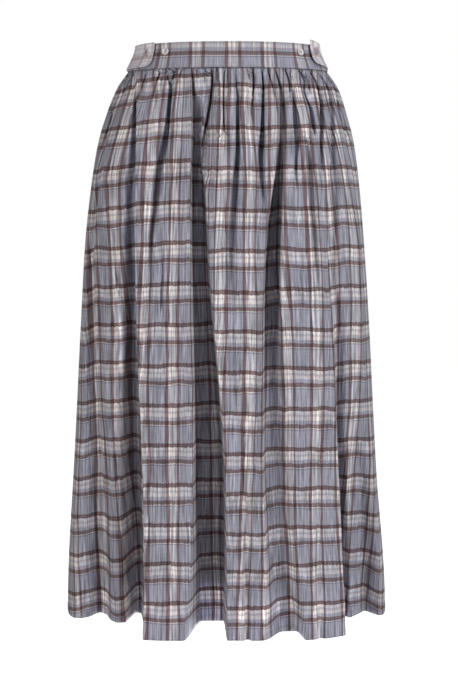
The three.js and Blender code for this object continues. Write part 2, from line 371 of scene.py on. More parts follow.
MAIN_FRONT = (
    Fold("far_left", (
        (0, -134, -131, 0), (40, -153, -149, 0), (115, -170, -165, 0), (150, -176, -169, 5),
        (213, -185, -175, 9), (258, -189, -176, 11), (346, -190, -175, 13), (480, -196, -168, 16),
        (658, -197, -160, 16), (756, -197, -162, 16),
    ), walls=(0.45, 0.35)),
    Fold("left", (
        (22, -124, -121, 0), (33, -125, -121, 6), (44, -126.5, -120.5, 10), (60, -127, -120, 13),
        (106, -130, -119.5, 17), (172, -137, -119.5, 20), (230, -137, -119, 24),
        (301, -139, -118, 30), (393, -142, -115, 36), (480, -146, -111, 42), (569, -146, -108, 44),
        (658, -146, -108, 46), (756, -144, -111, 48),
    ), walls_down=((22, 0.4, 0.4), (60, 0.5, 0.25), (300, 0.6, 0.12), (756, 0.45, 0.12))),
    Fold("centre", (
        (0, -49, -46.5, 1.5), (13, -48, -44.5, 6), (36, -47.5, -39, 9), (46, -47.3, -31, 13),
        (59, -47, -30, 18), (72, -46.5, -30, 21), (90, -46.2, -31.3, 23), (105, -46, -31.8, 24),
        (127, -45.8, -31, 28), (148, -45.5, -27, 30), (213, -45.5, -22, 33), (305, -44.5, -17, 38),
        (393, -43, -9, 45), (480, -43, -2, 54), (569, -44, 2, 64), (658, -48, 2, 72),
        (756, -58, 2, 80),
    ), walls_down=(
        (0, 0.45, 0.3), (44, 0.14, 0.6), (60, 0.14, 0.3), (100, 0.13, 0.2), (150, 0.13, 0.12),
        (560, 0.12, 0.1), (756, 0.42, 0.1),
    )),
    Fold("right", (
        (0, 62, 65, 2), (13, 65, 68.8, 8), (25, 68, 73, 10), (38, 69, 77, 12), (51, 69.5, 81, 13.5),
        (72, 69.5, 82, 14), (92, 69.5, 80, 15), (114, 68, 79, 22), (148, 64, 78, 32),
        (175, 60, 77.5, 38), (213, 55, 76.5, 42), (280, 51, 75, 42), (333, 50, 76, 36),
        (438, 49.5, 82, 26), (542, 50, 92, 25), (658, 54, 97, 26), (756, 48, 107, 37),
    ), walls_down=(
        (0, 0.3, 0.3), (40, 0.18, 0.7), (90, 0.2, 0.6), (140, 0.22, 0.12), (200, 0.2, 0.08),
        (300, 0.2, 0.1), (420, 0.14, 0.6), (640, 0.16, 0.55), (756, 0.5, 0.2),
    )),
    Fold("far_right", (
        (2, 121, 123.5, 2), (16, 129, 133, 6), (33, 135.5, 140.5, 9), (48, 138, 145, 10),
        (81, 139.5, 148, 11), (106, 139.5, 149, 11), (172, 138.7, 157, 11), (258, 137.5, 153, 10),
        (346, 145.5, 164, 12), (480, 149.5, 165, 16), (569, 154, 171, 20), (756, 160, 176, 20),
    ), walls=(0.16, 0.6)),
)

SIDE_FRONT = (
    Fold("left_side", (
        (260, -196, -118, 0), (393, -200, -116, 6), (480, -204, -112, 17), (569, -208, -109, 32),
        (658, -213, -108, 47), (756, -219, -110, 60),
    ), walls=(0.36, 0.13), broad=True),
    Fold("right_side", (
        (260, 137, 190, 0), (393, 147, 196, 5), (480, 150, 199, 16), (569, 154, 205, 31),
        (658, 156, 212, 46), (756, 160, 219, 60),
    ), walls=(0.14, 0.36), broad=True),
    Fold("flap", (
        (8, -47, -23, 0), (40, -47, -22, 2.5), (70, -47, -25, 3), (100, -46, -29, 0),
    ), walls=(0.2, 0.12), broad=True),
)

CREASES_FRONT = (
    Fold("centre_edge", (
        (0, -23, -18.5, 2), (13, -22.5, -17.5, 7), (38, -23.5, -18.5, 9), (58, -26, -20.5, 9),
        (77, -29.5, -23.5, 8), (97, -33, -27.5, 6), (125, -34, -29, 0),
    ), walls=(0.3, 0.5)),
    Fold("first", (
        (0, -5, -2, 2), (13, -6, -2.8, 5.5), (31, -6.5, -3, 6.5), (51, -6, -2, 6.5),
        (68, -5.5, -1.5, 5), (84, -4.5, -0.3, 3), (110, -4.5, 0, 0),
    )),
    Fold("second", (
        (0, 10, 12.5, 2), (25, 10, 14, 4), (38, 11.5, 17, 6), (63, 11.5, 18.5, 9),
        (114, 11.5, 21, 9.5), (148, 8.5, 20.5, 9), (182, 6, 20, 8), (256, 0, 16.5, 5),
        (330, -2, 14, 0),
    ), walls=(0.3, 0.6)),
    Fold("short", ((0, 25, 27.5, 1.5), (8, 26, 28.8, 4), (21, 27, 30, 0))),
    Fold("third", (
        (0, 32, 34.8, 2), (13, 33, 36.8, 6.5), (26, 32.5, 36.5, 6), (38, 31, 36.5, 3),
        (58, 30, 35.5, 3), (81, 30, 36, 0),
    )),
    Fold("fourth", (
        (0, 44, 46.8, 2), (13, 45, 48.8, 7), (31, 45.5, 50, 10), (51, 45, 51, 12),
        (81, 44, 52.5, 12.5), (98, 42, 53.5, 12), (114, 41.5, 52, 10), (143, 43, 54, 7),
        (175, 45.5, 57, 4), (228, 48, 60, 0),
    ), walls=(0.35, 0.55)),
    Fold("fifth", (
        (0, 75.3, 77.8, 2), (8, 77.8, 80.8, 5.5), (18, 80.3, 83.3, 5.5), (31, 81, 84.5, 3),
        (45, 81, 85, 0),
    )),
    Fold("fifth_twig", ((3, 81.5, 83.8, 0), (9, 82.3, 85, 3), (18, 84, 87, 0))),
    Fold("sixth", (
        (22, 84, 89, 0), (34, 85, 92, 4), (51, 86.5, 94.5, 6), (64, 87, 97, 7), (98, 89, 101, 7),
        (115, 91, 97, 6), (143, 90.5, 97, 3), (175, 90, 96, 0),
    ), walls=(0.3, 0.6)),
    Fold("hip", (
        (70, 100, 104, 0), (97, 102.5, 111.5, 4), (126, 106, 119.5, 7), (175, 110, 122, 7),
        (213, 114, 125, 6), (266, 117, 127.5, 3), (320, 119, 129, 0),
    ), walls=(0.4, 0.5)),
    Fold("seventh", (
        (0, 97.3, 100, 2), (9, 99.5, 102.5, 5), (17, 101.5, 104.5, 4), (27, 100.3, 103.8, 4),
        (44, 106, 110, 6), (52, 109.3, 115, 7), (73, 111.5, 121, 6), (88, 114, 122, 3),
        (104, 116, 122, 0),
    ), walls=(0.4, 0.5)),
    Fold("seventh_twig", (
        (4, 104, 106.3, 0), (12, 105.4, 108.4, 4), (21, 107, 110, 4), (31, 107.6, 111.5, 2),
        (41, 108, 112, 0),
    )),
    Fold("eighth", (
        (0, 108.8, 111.6, 2), (13, 115.2, 119, 6), (23, 119, 122.8, 8), (33, 121.4, 126, 9),
        (48, 124, 131, 10), (77, 124.5, 133, 9.5), (97, 124.7, 131.5, 6), (123, 124.7, 131.3, 3),
        (150, 125, 131, 0),
    ), walls=(0.22, 0.6)),
    Fold("side_right", (
        (3, 133.4, 135.8, 0), (9, 134.5, 137.3, 3), (17, 141, 145, 4), (31, 147, 151, 4),
        (48, 149, 153.6, 4), (77, 158.5, 163.5, 4), (90, 162, 167, 0),
    )),
    Fold("pocket", (
        (4, -93.2, -90, 0), (9, -93.8, -90.2, 5), (20, -97.8, -94, 7.5), (31, -100.3, -96.2, 4),
        (48, -101.3, -97, 0),
    ), walls=(0.6, 0.3)),
    Fold("pocket_face", (
        (0, -108, -92, 0), (12, -109, -93, 4), (25, -113, -97, 3), (42, -115, -99, 0),
    ), walls=(0.5, 0.3), broad=True),
    Fold("pocket_end", (
        (1, -110.3, -107.6, 0), (10, -112.2, -109, 3.5), (21, -115.6, -112, 3.5),
        (36, -117, -114, 0),
    )),
    Fold("hollow", (
        (0, -81.3, -78.5, 2), (13, -81.4, -77.8, 4), (23, -79.5, -73, 6), (35, -80, -72.3, 8),
        (51, -81, -72.6, 10), (64, -82, -73, 10), (98, -89.5, -75, 10), (127, -96, -80, 9),
        (175, -100, -85.5, 8), (213, -102.5, -92, 6), (266, -105, -94, 3), (330, -108, -98, 0),
    ), walls=(0.6, 0.22)),
    Fold("side_left", (
        (42, -160, -156, 0), (60, -158.4, -153.8, 3), (77, -163.8, -159, 3.5), (94, -167, -162, 3),
        (112, -168, -164, 0),
    )),
    Fold("ridge", (
        (300, -174, -146, 0), (400, -172, -146, -3), (600, -165, -143, -5), (756, -166, -143, -5),
    ), broad=True),
    Fold("face_left_crease", (
        (230, -84, -79, 0), (262, -84, -79, 2.5), (300, -86, -81, 3), (352, -88, -82, 0),
    ), walls=(0.3, 0.6)),
    Fold("face_left_low", (
        (420, -100, -92, 0), (480, -101, -92, 3), (560, -103, -93, 2), (640, -103, -93, 0),
    ), broad=True),
    Fold("ridge_crease", (
        (240, -150, -142, 0), (290, -146, -136, 4), (340, -138, -128, 4), (390, -132, -124, 0),
    ), walls=(0.3, 0.6)),
    Fold("ridge_low", (
        (430, -156, -150, 0), (500, -153, -146, 5), (560, -149, -142, 4), (640, -146, -140, 0),
    ), walls=(0.3, 0.6), broad=True),
    Fold("face_middle_low", (
        (430, 14, 24, 0), (520, 16, 28, 4), (620, 20, 33, 6), (700, 22, 34, 6), (756, 22, 34, 5),
    ), walls=(0.5, 0.4), broad=True),
    Fold("face_middle_high", ((330, 6, 14, 0), (400, 8, 16, 3), (470, 9, 17, 0)), broad=True),
    Fold("face_right_low", (
        (430, 116, 124, 0), (520, 118, 127, 3), (650, 120, 131, 4), (756, 120, 133, 4),
    ), walls=(0.4, 0.5), broad=True),
    Fold("face_right_mid", (
        (210, 96, 104, 0), (280, 98, 106, 3), (360, 99, 107, 2.5), (440, 100, 108, 0),
    ), broad=True),
)

MAIN_BACK = (
    Fold("back_far_left", (
        (0, -124, -121, 2), (60, -146, -139, 8), (310, -176, -160, 13), (560, -180, -150, 26),
        (756, -186, -152, 38),
    ), walls=(0.5, 0.25)),
    Fold("back_left", (
        (0, -78, -75, 2), (30, -83, -77, 7), (140, -95, -82, 14), (330, -107, -84, 24),
        (560, -118, -88, 44), (756, -126, -92, 60),
    ), walls=(0.45, 0.2)),
    Fold("back_centre", (
        (0, -27, -24, 2), (40, -29, -22, 8), (150, -31, -15, 20), (330, -31, -9, 34),
        (560, -32, -1, 56), (756, -33, 4, 72),
    ), walls=(0.4, 0.2)),
    Fold("back_right", (
        (0, 38, 41, 2), (45, 41, 49, 9), (180, 48, 64, 16), (330, 52, 75, 23), (560, 57, 90, 40),
        (756, 64, 102, 54),
    ), walls=(0.2, 0.5)),
    Fold("back_far_right", (
        (0, 98, 101, 2), (60, 118, 126, 8), (310, 138, 156, 15), (560, 148, 172, 32),
        (756, 160, 186, 44),
    ), walls=(0.25, 0.5)),
)


WARP_REPEAT = sum(stripe.width for stripe in WARP)
WARP_HEIGHTS = (12.0, 71.0, 149.0, 241.0, 333.0, 438.0, 542.0, 634.0, 726.0)


class Mark(Enum):
    """Stripes of one repeat, by their places in it: the two browns and the thin ivory line."""

    FIRST = 2.45
    SECOND = 20.2
    THIN = 38.3


@dataclass(frozen=True)
class WarpLine:
    """One stripe down the cloth: the repeat it is in, which stripe it is, and where it runs."""

    repeat: int
    mark: Mark
    across: tuple[float, ...]

    @property
    def cloth(self) -> float:
        """The stripe's place on the flat cloth."""
        return self.repeat * WARP_REPEAT + self.mark.value

    def at(self, down: float) -> float:
        """The stripe's place across the panel at one height."""
        return monotone(np.array(WARP_HEIGHTS), np.array(self.across), down)


WARP_FRONT = (
    WarpLine(-3, Mark.SECOND, (-147, -168, -182, -196, -200, -196, -200, -203, -203)),
    WarpLine(-2, Mark.FIRST, (-143, -161, -180, -186, -185, -184, -184, -184, -184)),
    WarpLine(-2, Mark.SECOND, (-138, -153, -175, -170, -168, -167, -162, -163, -165)),
    WarpLine(-1, Mark.FIRST, (-130, -145, -161, -155, -153, -153, -150, -147, -146)),
    WarpLine(-1, Mark.SECOND, (-114, -128, -141, -136, -131, -130, -130, -125, -124)),
    WarpLine(0, Mark.FIRST, (-100, -104, -108, -110, -114, -117, -118.5, -118, -117)),
    WarpLine(0, Mark.SECOND, (-82, -87, -92.5, -96, -100, -102.5, -102, -102, -104)),
    WarpLine(1, Mark.FIRST, (-66.5, -70, -71.5, -72.5, -75, -76, -77, -77.5, -79)),
    WarpLine(1, Mark.SECOND, (-57, -58, -59, -59.5, -61, -61, -61.5, -61.5, -61.5)),
    WarpLine(2, Mark.FIRST, (-48, -46, -45, -44.6, -44, -42.5, -42.5, -42.5, -44)),
    WarpLine(2, Mark.SECOND, (-46.5, -44, -42.5, -42, -41.5, -39.5, -38.5, -38.5, -40)),
    WarpLine(2, Mark.THIN, (-23, -29, -35, -32, -30, -28, -27, -27, -27)),
    WarpLine(3, Mark.FIRST, (-21.5, -26.5, -28.8, -26, -23, -20, -18, -19, -18)),
    WarpLine(3, Mark.SECOND, (-20.5, -25.5, -28, -24.5, -20, -12, -6, -7, -6)),
    WarpLine(5, Mark.FIRST, (-13, -12.5, -12, -13.5, -14.5, -7.5, -0.5, 0.3, 0.3)),
    WarpLine(5, Mark.SECOND, (3.3, 3.3, 2.6, 2, 2, -2, 0.5, 1, 1)),
    WarpLine(6, Mark.FIRST, (20, 22, 26, 26, 26.5, 24, 21, 18.5, 14)),
    WarpLine(6, Mark.SECOND, (33, 35.5, 41.5, 41, 42.5, 41, 37, 33.5, 30)),
    WarpLine(7, Mark.FIRST, (55.5, 57, 57.5, 53.5, 49.8, 49.3, 48.5, 48, 46)),
    WarpLine(7, Mark.SECOND, (62.5, 68.5, 66, 60, 55, 53, 54, 57.5, 59.5)),
    WarpLine(8, Mark.FIRST, (69, 72.5, 72.5, 71, 75, 78, 79, 82.5, 85)),
    WarpLine(8, Mark.SECOND, (73.5, 77.5, 79, 82.5, 88.5, 92, 93, 94.5, 97.5)),
    WarpLine(9, Mark.FIRST, (84, 98, 105, 109, 113.5, 116, 114.5, 114, 114.5)),
    WarpLine(9, Mark.SECOND, (97, 110.5, 121.5, 128.5, 131.5, 132, 128.5, 130, 132)),
    WarpLine(10, Mark.FIRST, (114, 125, 134, 139, 143.5, 147.5, 149, 152, 155.5)),
    WarpLine(10, Mark.SECOND, (121.5, 133, 146, 154, 155, 155, 156, 158, 161)),
    WarpLine(11, Mark.FIRST, (128, 142, 158, 169, 170.5, 170, 166.5, 164.5, 166)),
    WarpLine(11, Mark.SECOND, (134, 151, 168, 184, 186, 185, 180, 176, 172)),
    WarpLine(12, Mark.FIRST, (138, 157, 175, 187, 192, 195, 199, 198, 195)),
)


FACE_HEIGHTS = (20.0, 62.0, 105.0, 180.0, 290.0, 390.0, 500.0, 600.0, 660.0, 720.0)


@dataclass(frozen=True)
class Face:
    """A face between folds: its two edges, and how far the plaid's rows hang low on it, by height."""

    left: tuple[float, ...]
    right: tuple[float, ...]
    low: tuple[float, ...]

    def at(self, down: float) -> tuple[float, float, float]:
        """The edges and the drop of the rows at one height."""
        charted = (np.array(values) for values in (self.left, self.right, self.low))
        return tuple(monotone(np.array(FACE_HEIGHTS), values, down) for values in charted)


FACES_FRONT = (
    Face(
        (-160, -177, -184, -190, -200, -203, -208, -212, -215, -218),
        (-140, -157, -168, -180, -189, -191, -196, -197, -197, -197),
        (8, 8.5, 9.5, 11, 12, 9, 5, 3, 4.5, 8),
    ),
    Face(
        (-136, -152, -162, -170, -175, -172, -167, -162, -160, -161),
        (-124, -127, -130, -137, -139, -142, -146, -146, -146, -145),
        (5, 7, 6, 8, 5.5, 1, 0.5, 5.5, 14, 18),
    ),
    Face(
        (-121, -120, -119.5, -119.5, -118, -115, -111, -108, -108, -109),
        (-20.6, -26.3, -45.9, -45.5, -44.5, -43, -43, -46, -49, -54),
        (-3.5, 1.5, 2.3, 3.5, 5, 5.5, 5, 4.2, 3.2, 4),
    ),
    Face(
        (-20.4, -25.5, -44, -43, -42, -39, -38, -40, -42, -36),
        (-20.2, -24.5, -33.5, -28.5, -21, -12, -3, -2, -2, -3),
        (4, 8, 10, 9, 8.5, 11, 12.5, 13, 12, 8.5),
    ),
    Face(
        (-19.5, -22.5, -31.5, -26.5, -18.5, -9, 0, 2, 2, 2),
        (48, 48, 50, 58, 51, 50, 50, 52, 54, 59),
        (11, 14, 13.5, 15.3, 16.5, 16.3, 18, 18.2, 14.5, 10),
    ),
    Face(
        (100, 105, 100, 79, 76, 80, 88, 95, 97, 99),
        (128, 139, 139, 139, 140, 147, 150, 155, 156, 157),
        (5.6, 6.5, 7, 9.4, 10.4, 8.6, 9.7, 7.5, 4.3, 4.2),
    ),
    Face(
        (134, 147, 149, 157, 157, 164, 166, 172, 173, 174),
        (150, 160, 172, 185, 190, 196, 205, 210, 213, 217),
        (5, 5, 5, 5, 4.3, 2.2, 1.5, 0.8, 3.6, 7),
    ),
)


@dataclass(frozen=True)
class GatherRule:
    """How the small gathers below the seam and the long soft waves of a panel are laid out.

    Spacing, length, depth and width are the least and the most of a gather, clear is how far it
    stays from the listed folds, and waves is the number of long waves.
    """

    seed: int
    spacing: Pair
    length: Pair
    depth: Pair
    width: Pair
    clear: float
    waves: int
    lean: float = 3.0
    side_margin: float = 4.0
    busy_height: float = 14.0
    wave_top: Pair = (30.0, 560.0)
    wave_length: Pair = (120.0, 380.0)
    wave_width: Pair = (7.0, 20.0)
    wave_depth: Pair = (0.5, 1.7)
    wave_share: float = 0.93
    wave_lean: float = 7.0
    fading: tuple[Pair, ...] = ((0, 0.6), (0.15, 1), (0.45, 1), (0.75, 0.5), (1, 0))
    swelling: tuple[Pair, ...] = ((0, 0), (0.35, 1), (0.65, 1), (1, 0))

    def gathers(self, taken: tuple[Fold, ...]) -> list[Fold]:
        """The small gathers, kept clear of the listed folds.

        Args:
            taken: The folds that are there already.

        Returns:
            The gathers.
        """
        rng = random.Random(self.seed)
        seam_half = RING.sizes(BAND_HEIGHT)[0]
        height = self.busy_height
        busy = [sum(fold.edges(height)) / 2 for fold in taken if fold.depth(height) > 0.5]
        found = []
        place = self.side_margin - seam_half
        while place < seam_half - self.side_margin:
            share = place / seam_half
            length = rng.uniform(*self.length)
            deep = rng.uniform(*self.depth)
            wide = rng.uniform(*self.width)
            lean = rng.uniform(-self.lean, self.lean)
            if all(abs(place - other) > self.clear for other in busy):
                run = self.run(0.0, length, share, lean, deep, (wide * 0.5, wide * 0.35), self.fading)
                found.append(Fold("gather", run))
            place += rng.uniform(*self.spacing)
        return found

    def run(
        self,
        top: float,
        length: float,
        share: float,
        lean: float,
        deep: float,
        half: Pair,
        profile: tuple[Pair, ...],
    ) -> tuple[Row, ...]:
        """Stations of a fold that keeps its share of the panel's width on the way down.

        Args:
            top: Where it starts, down from the waist seam.
            length: Its length.
            share: Its place, as a share of the panel's half width.
            lean: How far its lower end is out of that line.
            deep: Its depth.
            half: Half its width at the top, and what that grows by down to its end.
            profile: Shares of the length, each with the share of the depth there.

        Returns:
            The stations.
        """
        stations = []
        for part, depth_part in profile:
            down = top + part * length
            middle = share * RING.sizes(BAND_HEIGHT + down)[0] + lean * part
            spread = half[0] + half[1] * part
            stations.append((down, middle - spread, middle + spread, deep * depth_part))
        return tuple(stations)

    def long_waves(self) -> list[Fold]:
        """Long soft waves, ridges and troughs by turns, all over the panel.

        Returns:
            The waves.
        """
        rng = random.Random(self.seed + 1)
        found = []
        for _ in range(self.waves):
            top = rng.uniform(*self.wave_top)
            length = rng.uniform(*self.wave_length)
            share = rng.uniform(-self.wave_share, self.wave_share)
            wide = rng.uniform(*self.wave_width)
            deep = rng.choice((-1.0, 1.0)) * rng.uniform(*self.wave_depth)
            lean = rng.uniform(-self.wave_lean, self.wave_lean)
            run = self.run(top, length, share, lean, deep, (wide * 0.5, 0.0), self.swelling)
            found.append(Fold("wave", run))
        return found


class Side(Enum):
    """The front or the back of the skirt, by the turn of its middle."""

    FRONT = 0.0
    BACK = 180.0

    @property
    def word(self) -> str:
        """The side's word in the names of its pieces."""
        return self.name.lower()

    @property
    def seam(self) -> float:
        """Where its pieces end along Y at the side seams, in millimetres."""
        return (-0.5 if self is Side.FRONT else 0.5) * SEAM_GAP

    @property
    def band(self) -> str:
        """The node of its half of the waistband."""
        return f"waistband_{self.word}"


# --- meshes ---


def add_object(name: str, data: bpy.types.ID) -> Piece:
    """Puts a new object into the scene.

    Args:
        name: Its name.
        data: Its mesh, lamp or camera.

    Returns:
        The object.
    """
    thing = bpy.data.objects.new(name, data)
    bpy.context.scene.collection.objects.link(thing)
    return thing


def cloth_mesh(
    name: str, points: Array, faces: list[list[int]], uv: Array, flat_faces: int = 0
) -> Piece:
    """A smooth mesh with its places on the flat cloth as its UV map.

    Args:
        name: The object's name.
        points: Its points, in millimetres.
        faces: Its faces, as numbers of points.
        uv: Each point's place on the flat cloth, in millimetres.
        flat_faces: How many faces, the last ones, are shaded flat.

    Returns:
        The new object.
    """
    mesh = bpy.data.meshes.new(name)
    mesh.from_pydata((points.reshape(-1, 3) * MM).tolist(), [], faces)
    mesh.update()
    layer = mesh.uv_layers.new(name=CLOTH_UV)
    order = np.array([corner for face in faces for corner in face])
    layer.data.foreach_set("uv", uv.reshape(-1, 2)[order].astype(np.float32).reshape(-1))
    round_faces = len(faces) - flat_faces
    mesh.polygons.foreach_set("use_smooth", [True] * round_faces + [False] * flat_faces)
    return add_object(name, mesh)


def shell_mesh(name: str, outer: Array, inner: Array, uv: Array) -> Piece:
    """A closed wall between two grids of points.

    Args:
        name: The object's name.
        outer: Outer points by row, top first, and column, left first, in millimetres.
        inner: Inner points in the same order.
        uv: Places on the flat cloth, by row and column, in millimetres.

    Returns:
        The new object.
    """
    rows, columns = outer.shape[:2]
    count = rows * columns
    grid = np.arange(count).reshape(rows, columns)
    a, b, c, d = grid[:-1, :-1], grid[1:, :-1], grid[1:, 1:], grid[:-1, 1:]
    faces = [np.stack((a, b, c, d), -1).reshape(-1, 4)]
    faces.append(np.stack((a, d, c, b), -1).reshape(-1, 4) + count)
    sides = ((grid[:-1, 0], grid[1:, 0]), (grid[1:, -1], grid[:-1, -1]))
    ends = ((grid[0, 1:], grid[0, :-1]), (grid[-1, :-1], grid[-1, 1:]))
    for start, end in sides + ends:
        faces.append(np.stack((start, start + count, end + count, end), -1))
    points = np.concatenate((outer.reshape(-1, 3), inner.reshape(-1, 3)))
    places = np.concatenate((uv.reshape(-1, 2), uv.reshape(-1, 2)))
    return cloth_mesh(name, points, np.concatenate(faces).tolist(), places)


def grid_normals(points: Array, seam_ends: bool = False) -> Array:
    """The ways out from a grid of points.

    Args:
        points: Points by row, top first, and column, left first.
        seam_ends: Whether the end columns lie on a side seam and keep their walls level.

    Returns:
        Unit vectors.
    """
    down = np.gradient(points, axis=0)
    right = np.gradient(points, axis=1)
    out = np.cross(down, right)
    if seam_ends:
        out[:, (0, -1), 1] = 0.0
    return out / np.linalg.norm(out, axis=-1, keepdims=True)


def finish_piece(thing: Piece, material: Material, slot: str, *nodes: str) -> None:
    """Dresses a piece and ties it to the frame.

    Args:
        thing: The piece.
        material: Its material.
        slot: The slot that its finish belongs to; not used.
        nodes: The nodes of the frame that it stands for.
    """
    if not thing.data.materials:
        thing.data.materials.append(material)
    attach(thing, ROOT)
    if nodes:
        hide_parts(*nodes)


# --- the cloth ---


@dataclass
class Panel:
    """One panel of gathered cloth and what it needs to be laid out.

    A row of it is sampled all along and then laid in columns. Folds are pushed straight back, and
    towards the sides they lean in, by one share at the top and another at the hem. The cloth is
    tucked under the band, puffs out below it and is pinched at the side seams, and the limits keep
    its folds shallow just below the band.
    """

    side: Side
    main: tuple[Fold, ...]
    extra: tuple[Fold, ...]
    rule: GatherRule
    warps: tuple[WarpLine, ...] = ()
    faces: tuple[Face, ...] = ()
    samples: int = 2801
    columns: int = 780
    lean_top: float = 0.4
    lean_hem: float = 0.2
    counting_down: float = 300.0
    crease_depth: float = 1.8
    crease_width: float = 0.8
    crease_wall: float = 0.6
    crease_cloth: float = 0.3
    crease_shoulder: float = 0.2
    tuck: float = 1.6
    tuck_end: float = 6.0
    puff: float = 1.6
    puff_full: float = 14.0
    puff_end: float = 70.0
    seam_pinch: float = 1.2
    seam_width: float = 0.9
    limit_start: float = 1.5
    limit_gain: float = 17.0
    limit_fall: float = 5.0
    limit_end: float = 40.0
    gather_height: float = 24.0
    folds: list[Fold] = field(default_factory=list)

    def __post_init__(self) -> None:
        """Collects every fold of the panel."""
        hand = self.main + self.extra
        small = self.rule.gathers(hand)
        creases = [fold for fold in self.extra if not fold.broad]
        broad = [fold for fold in self.extra if fold.broad]
        sharp = [self.sharpen(fold) for fold in (*creases, *small)]
        self.folds = [*self.main, *broad, *sharp, *self.rule.long_waves()]

    def sharpen(self, fold: Fold) -> Fold:
        """A crease made deeper and steeper, with round cloth on both sides of it.

        Args:
            fold: The crease as it was laid out.

        Returns:
            The sharpened crease.
        """
        stations = []
        for down, left, right, deep in fold.stations:
            spare = (right - left) * (1.0 - self.crease_width) / 2
            stations.append((down, left + spare, right - spare, deep * self.crease_depth))
        return replace(
            fold,
            stations=tuple(stations),
            walls=(fold.walls[0] * self.crease_wall, fold.walls[1] * self.crease_wall),
            shoulder=self.crease_shoulder,
        )

    def rows(self) -> Array:
        """The heights of the rows of cloth, closer at the waist and at the hem.

        Returns:
            The distances down from the waist seam.
        """
        near = np.linspace(0.0, 60.0, 14)[:-1]
        middle = np.linspace(60.0, 150.0, 12)[:-1]
        far = np.linspace(150.0, SKIRT_LENGTH - 10.0, 34)
        hem = SKIRT_LENGTH - np.array([7.6, 7.0, 3.5, 0.0])
        return np.concatenate((near, middle, far, hem))

    def offsets(self) -> Array:
        """The turns from the panel's middle at which a row is sampled."""
        return np.linspace(-SIDE_TURN, SIDE_TURN, self.samples)

    def across(self, down: float) -> Array:
        """The places across the panel of the sampled turns.

        Args:
            down: The row's distance down from the waist seam.

        Returns:
            The places, in millimetres.
        """
        below = down + BAND_HEIGHT + SEAM_GAP
        plan = RING.plan(self.offsets(), below)
        return plan[:, 0] - RING.sizes(below)[3]

    def inset(self, down: float) -> Array:
        """How far all folds draw the cloth in, and the tucked top edge.

        Args:
            down: The row's distance down from the waist seam.

        Returns:
            The inset of each sample.
        """
        across = self.across(down)
        total = np.zeros_like(across)
        for fold in self.folds:
            total += fold.inset(across, down)
        tuck = self.tuck * (1.0 - smooth(down, 0.0, self.tuck_end))
        swell = smooth(down, 0.0, self.puff_full) * (1.0 - smooth(down, self.puff_full, self.puff_end))
        puff = self.puff * swell
        from_seam = (SIDE_TURN - np.abs(self.offsets())) / self.seam_width
        seam = self.seam_pinch * np.exp(-(from_seam**2))
        if down < self.limit_end:
            limit = self.limit_start + self.limit_gain * (1.0 - math.exp(-down / self.limit_fall))
            total = np.minimum(total, limit)
        return total + tuck - puff + seam

    def points(self, down: float, inset: Array, drawn: Array | float) -> Array:
        """Points of cloth along one row.

        Args:
            down: The row's distance down from the waist seam.
            inset: How far each point is drawn in.
            drawn: How much smaller the ring is there.

        Returns:
            Points in space, in millimetres.
        """
        below = down + BAND_HEIGHT + SEAM_GAP
        offsets = self.offsets()
        plan = RING.plan(self.side.value + offsets, below, drawn)
        share = self.lean_top + (self.lean_hem - self.lean_top) * smooth(down, 60.0, SKIRT_LENGTH)
        lean = np.radians(self.side.value + offsets * share * (offsets / SIDE_TURN) ** 2)
        drop = SIDE_DROP * np.sin(np.radians(offsets)) ** 2 * smooth(down, 0.0, SIDE_DROP_FULL)
        x = plan[:, 0] - inset * np.sin(lean)
        y = plan[:, 1] + inset * np.cos(lean)
        lifted = inset * VALLEY_LIFT * smooth(down, 0.0, SKIRT_LENGTH)
        z = -below - drop + side_rise(down, offsets) + lifted
        return np.stack((x, y, z), axis=-1)

    def anchors(self, down: float) -> list[float]:
        """The places across, at one height, of the side seams and the main folds' edges.

        Args:
            down: The distance down from the waist seam.

        Returns:
            The places, from left to right.
        """
        edges = [edge for fold in self.main for edge in fold.edges(down)]
        across = self.across(down)
        return [across[0], *edges, across[-1]]

    def anchor_lengths(self, down: float, points: Array) -> tuple[Array, Array]:
        """Lengths along a row at its samples and at its anchors.

        Args:
            down: The row's distance down from the waist seam.
            points: The row's samples.

        Returns:
            The lengths at the samples, and those at the anchors.
        """
        lengths = lengths_along(points[:, :2])
        marks = np.interp(self.anchors(down), self.across(down), lengths)
        marks[0], marks[-1] = 0.0, lengths[-1]
        return lengths, marks

    def spread(self) -> tuple[Array, Array]:
        """How many columns, and how much flat cloth, each stretch between anchors takes.

        Returns:
            The counts of columns, and the places of the anchors on the flat cloth.
        """
        widths = []
        for down in (self.counting_down, SKIRT_LENGTH - 60.0):
            points = self.points(down, self.inset(down), SEAM_GAP)
            widths.append(np.diff(self.anchor_lengths(down, points)[1]))
        faces = np.arange(len(widths[0])) % 2 == 0
        cloth = np.where(faces, widths[0], widths[1]) / CRINKLE_TAKE_UP
        high = self.gather_height
        near = self.points(high, self.inset(high), SEAM_GAP)
        share = widths[0] + widths[1] + np.diff(self.anchor_lengths(high, near)[1])
        counts = np.maximum(6, np.round(share / share.sum() * self.columns)).astype(int)
        places = np.concatenate(([0.0], np.cumsum(cloth)))
        return counts, places

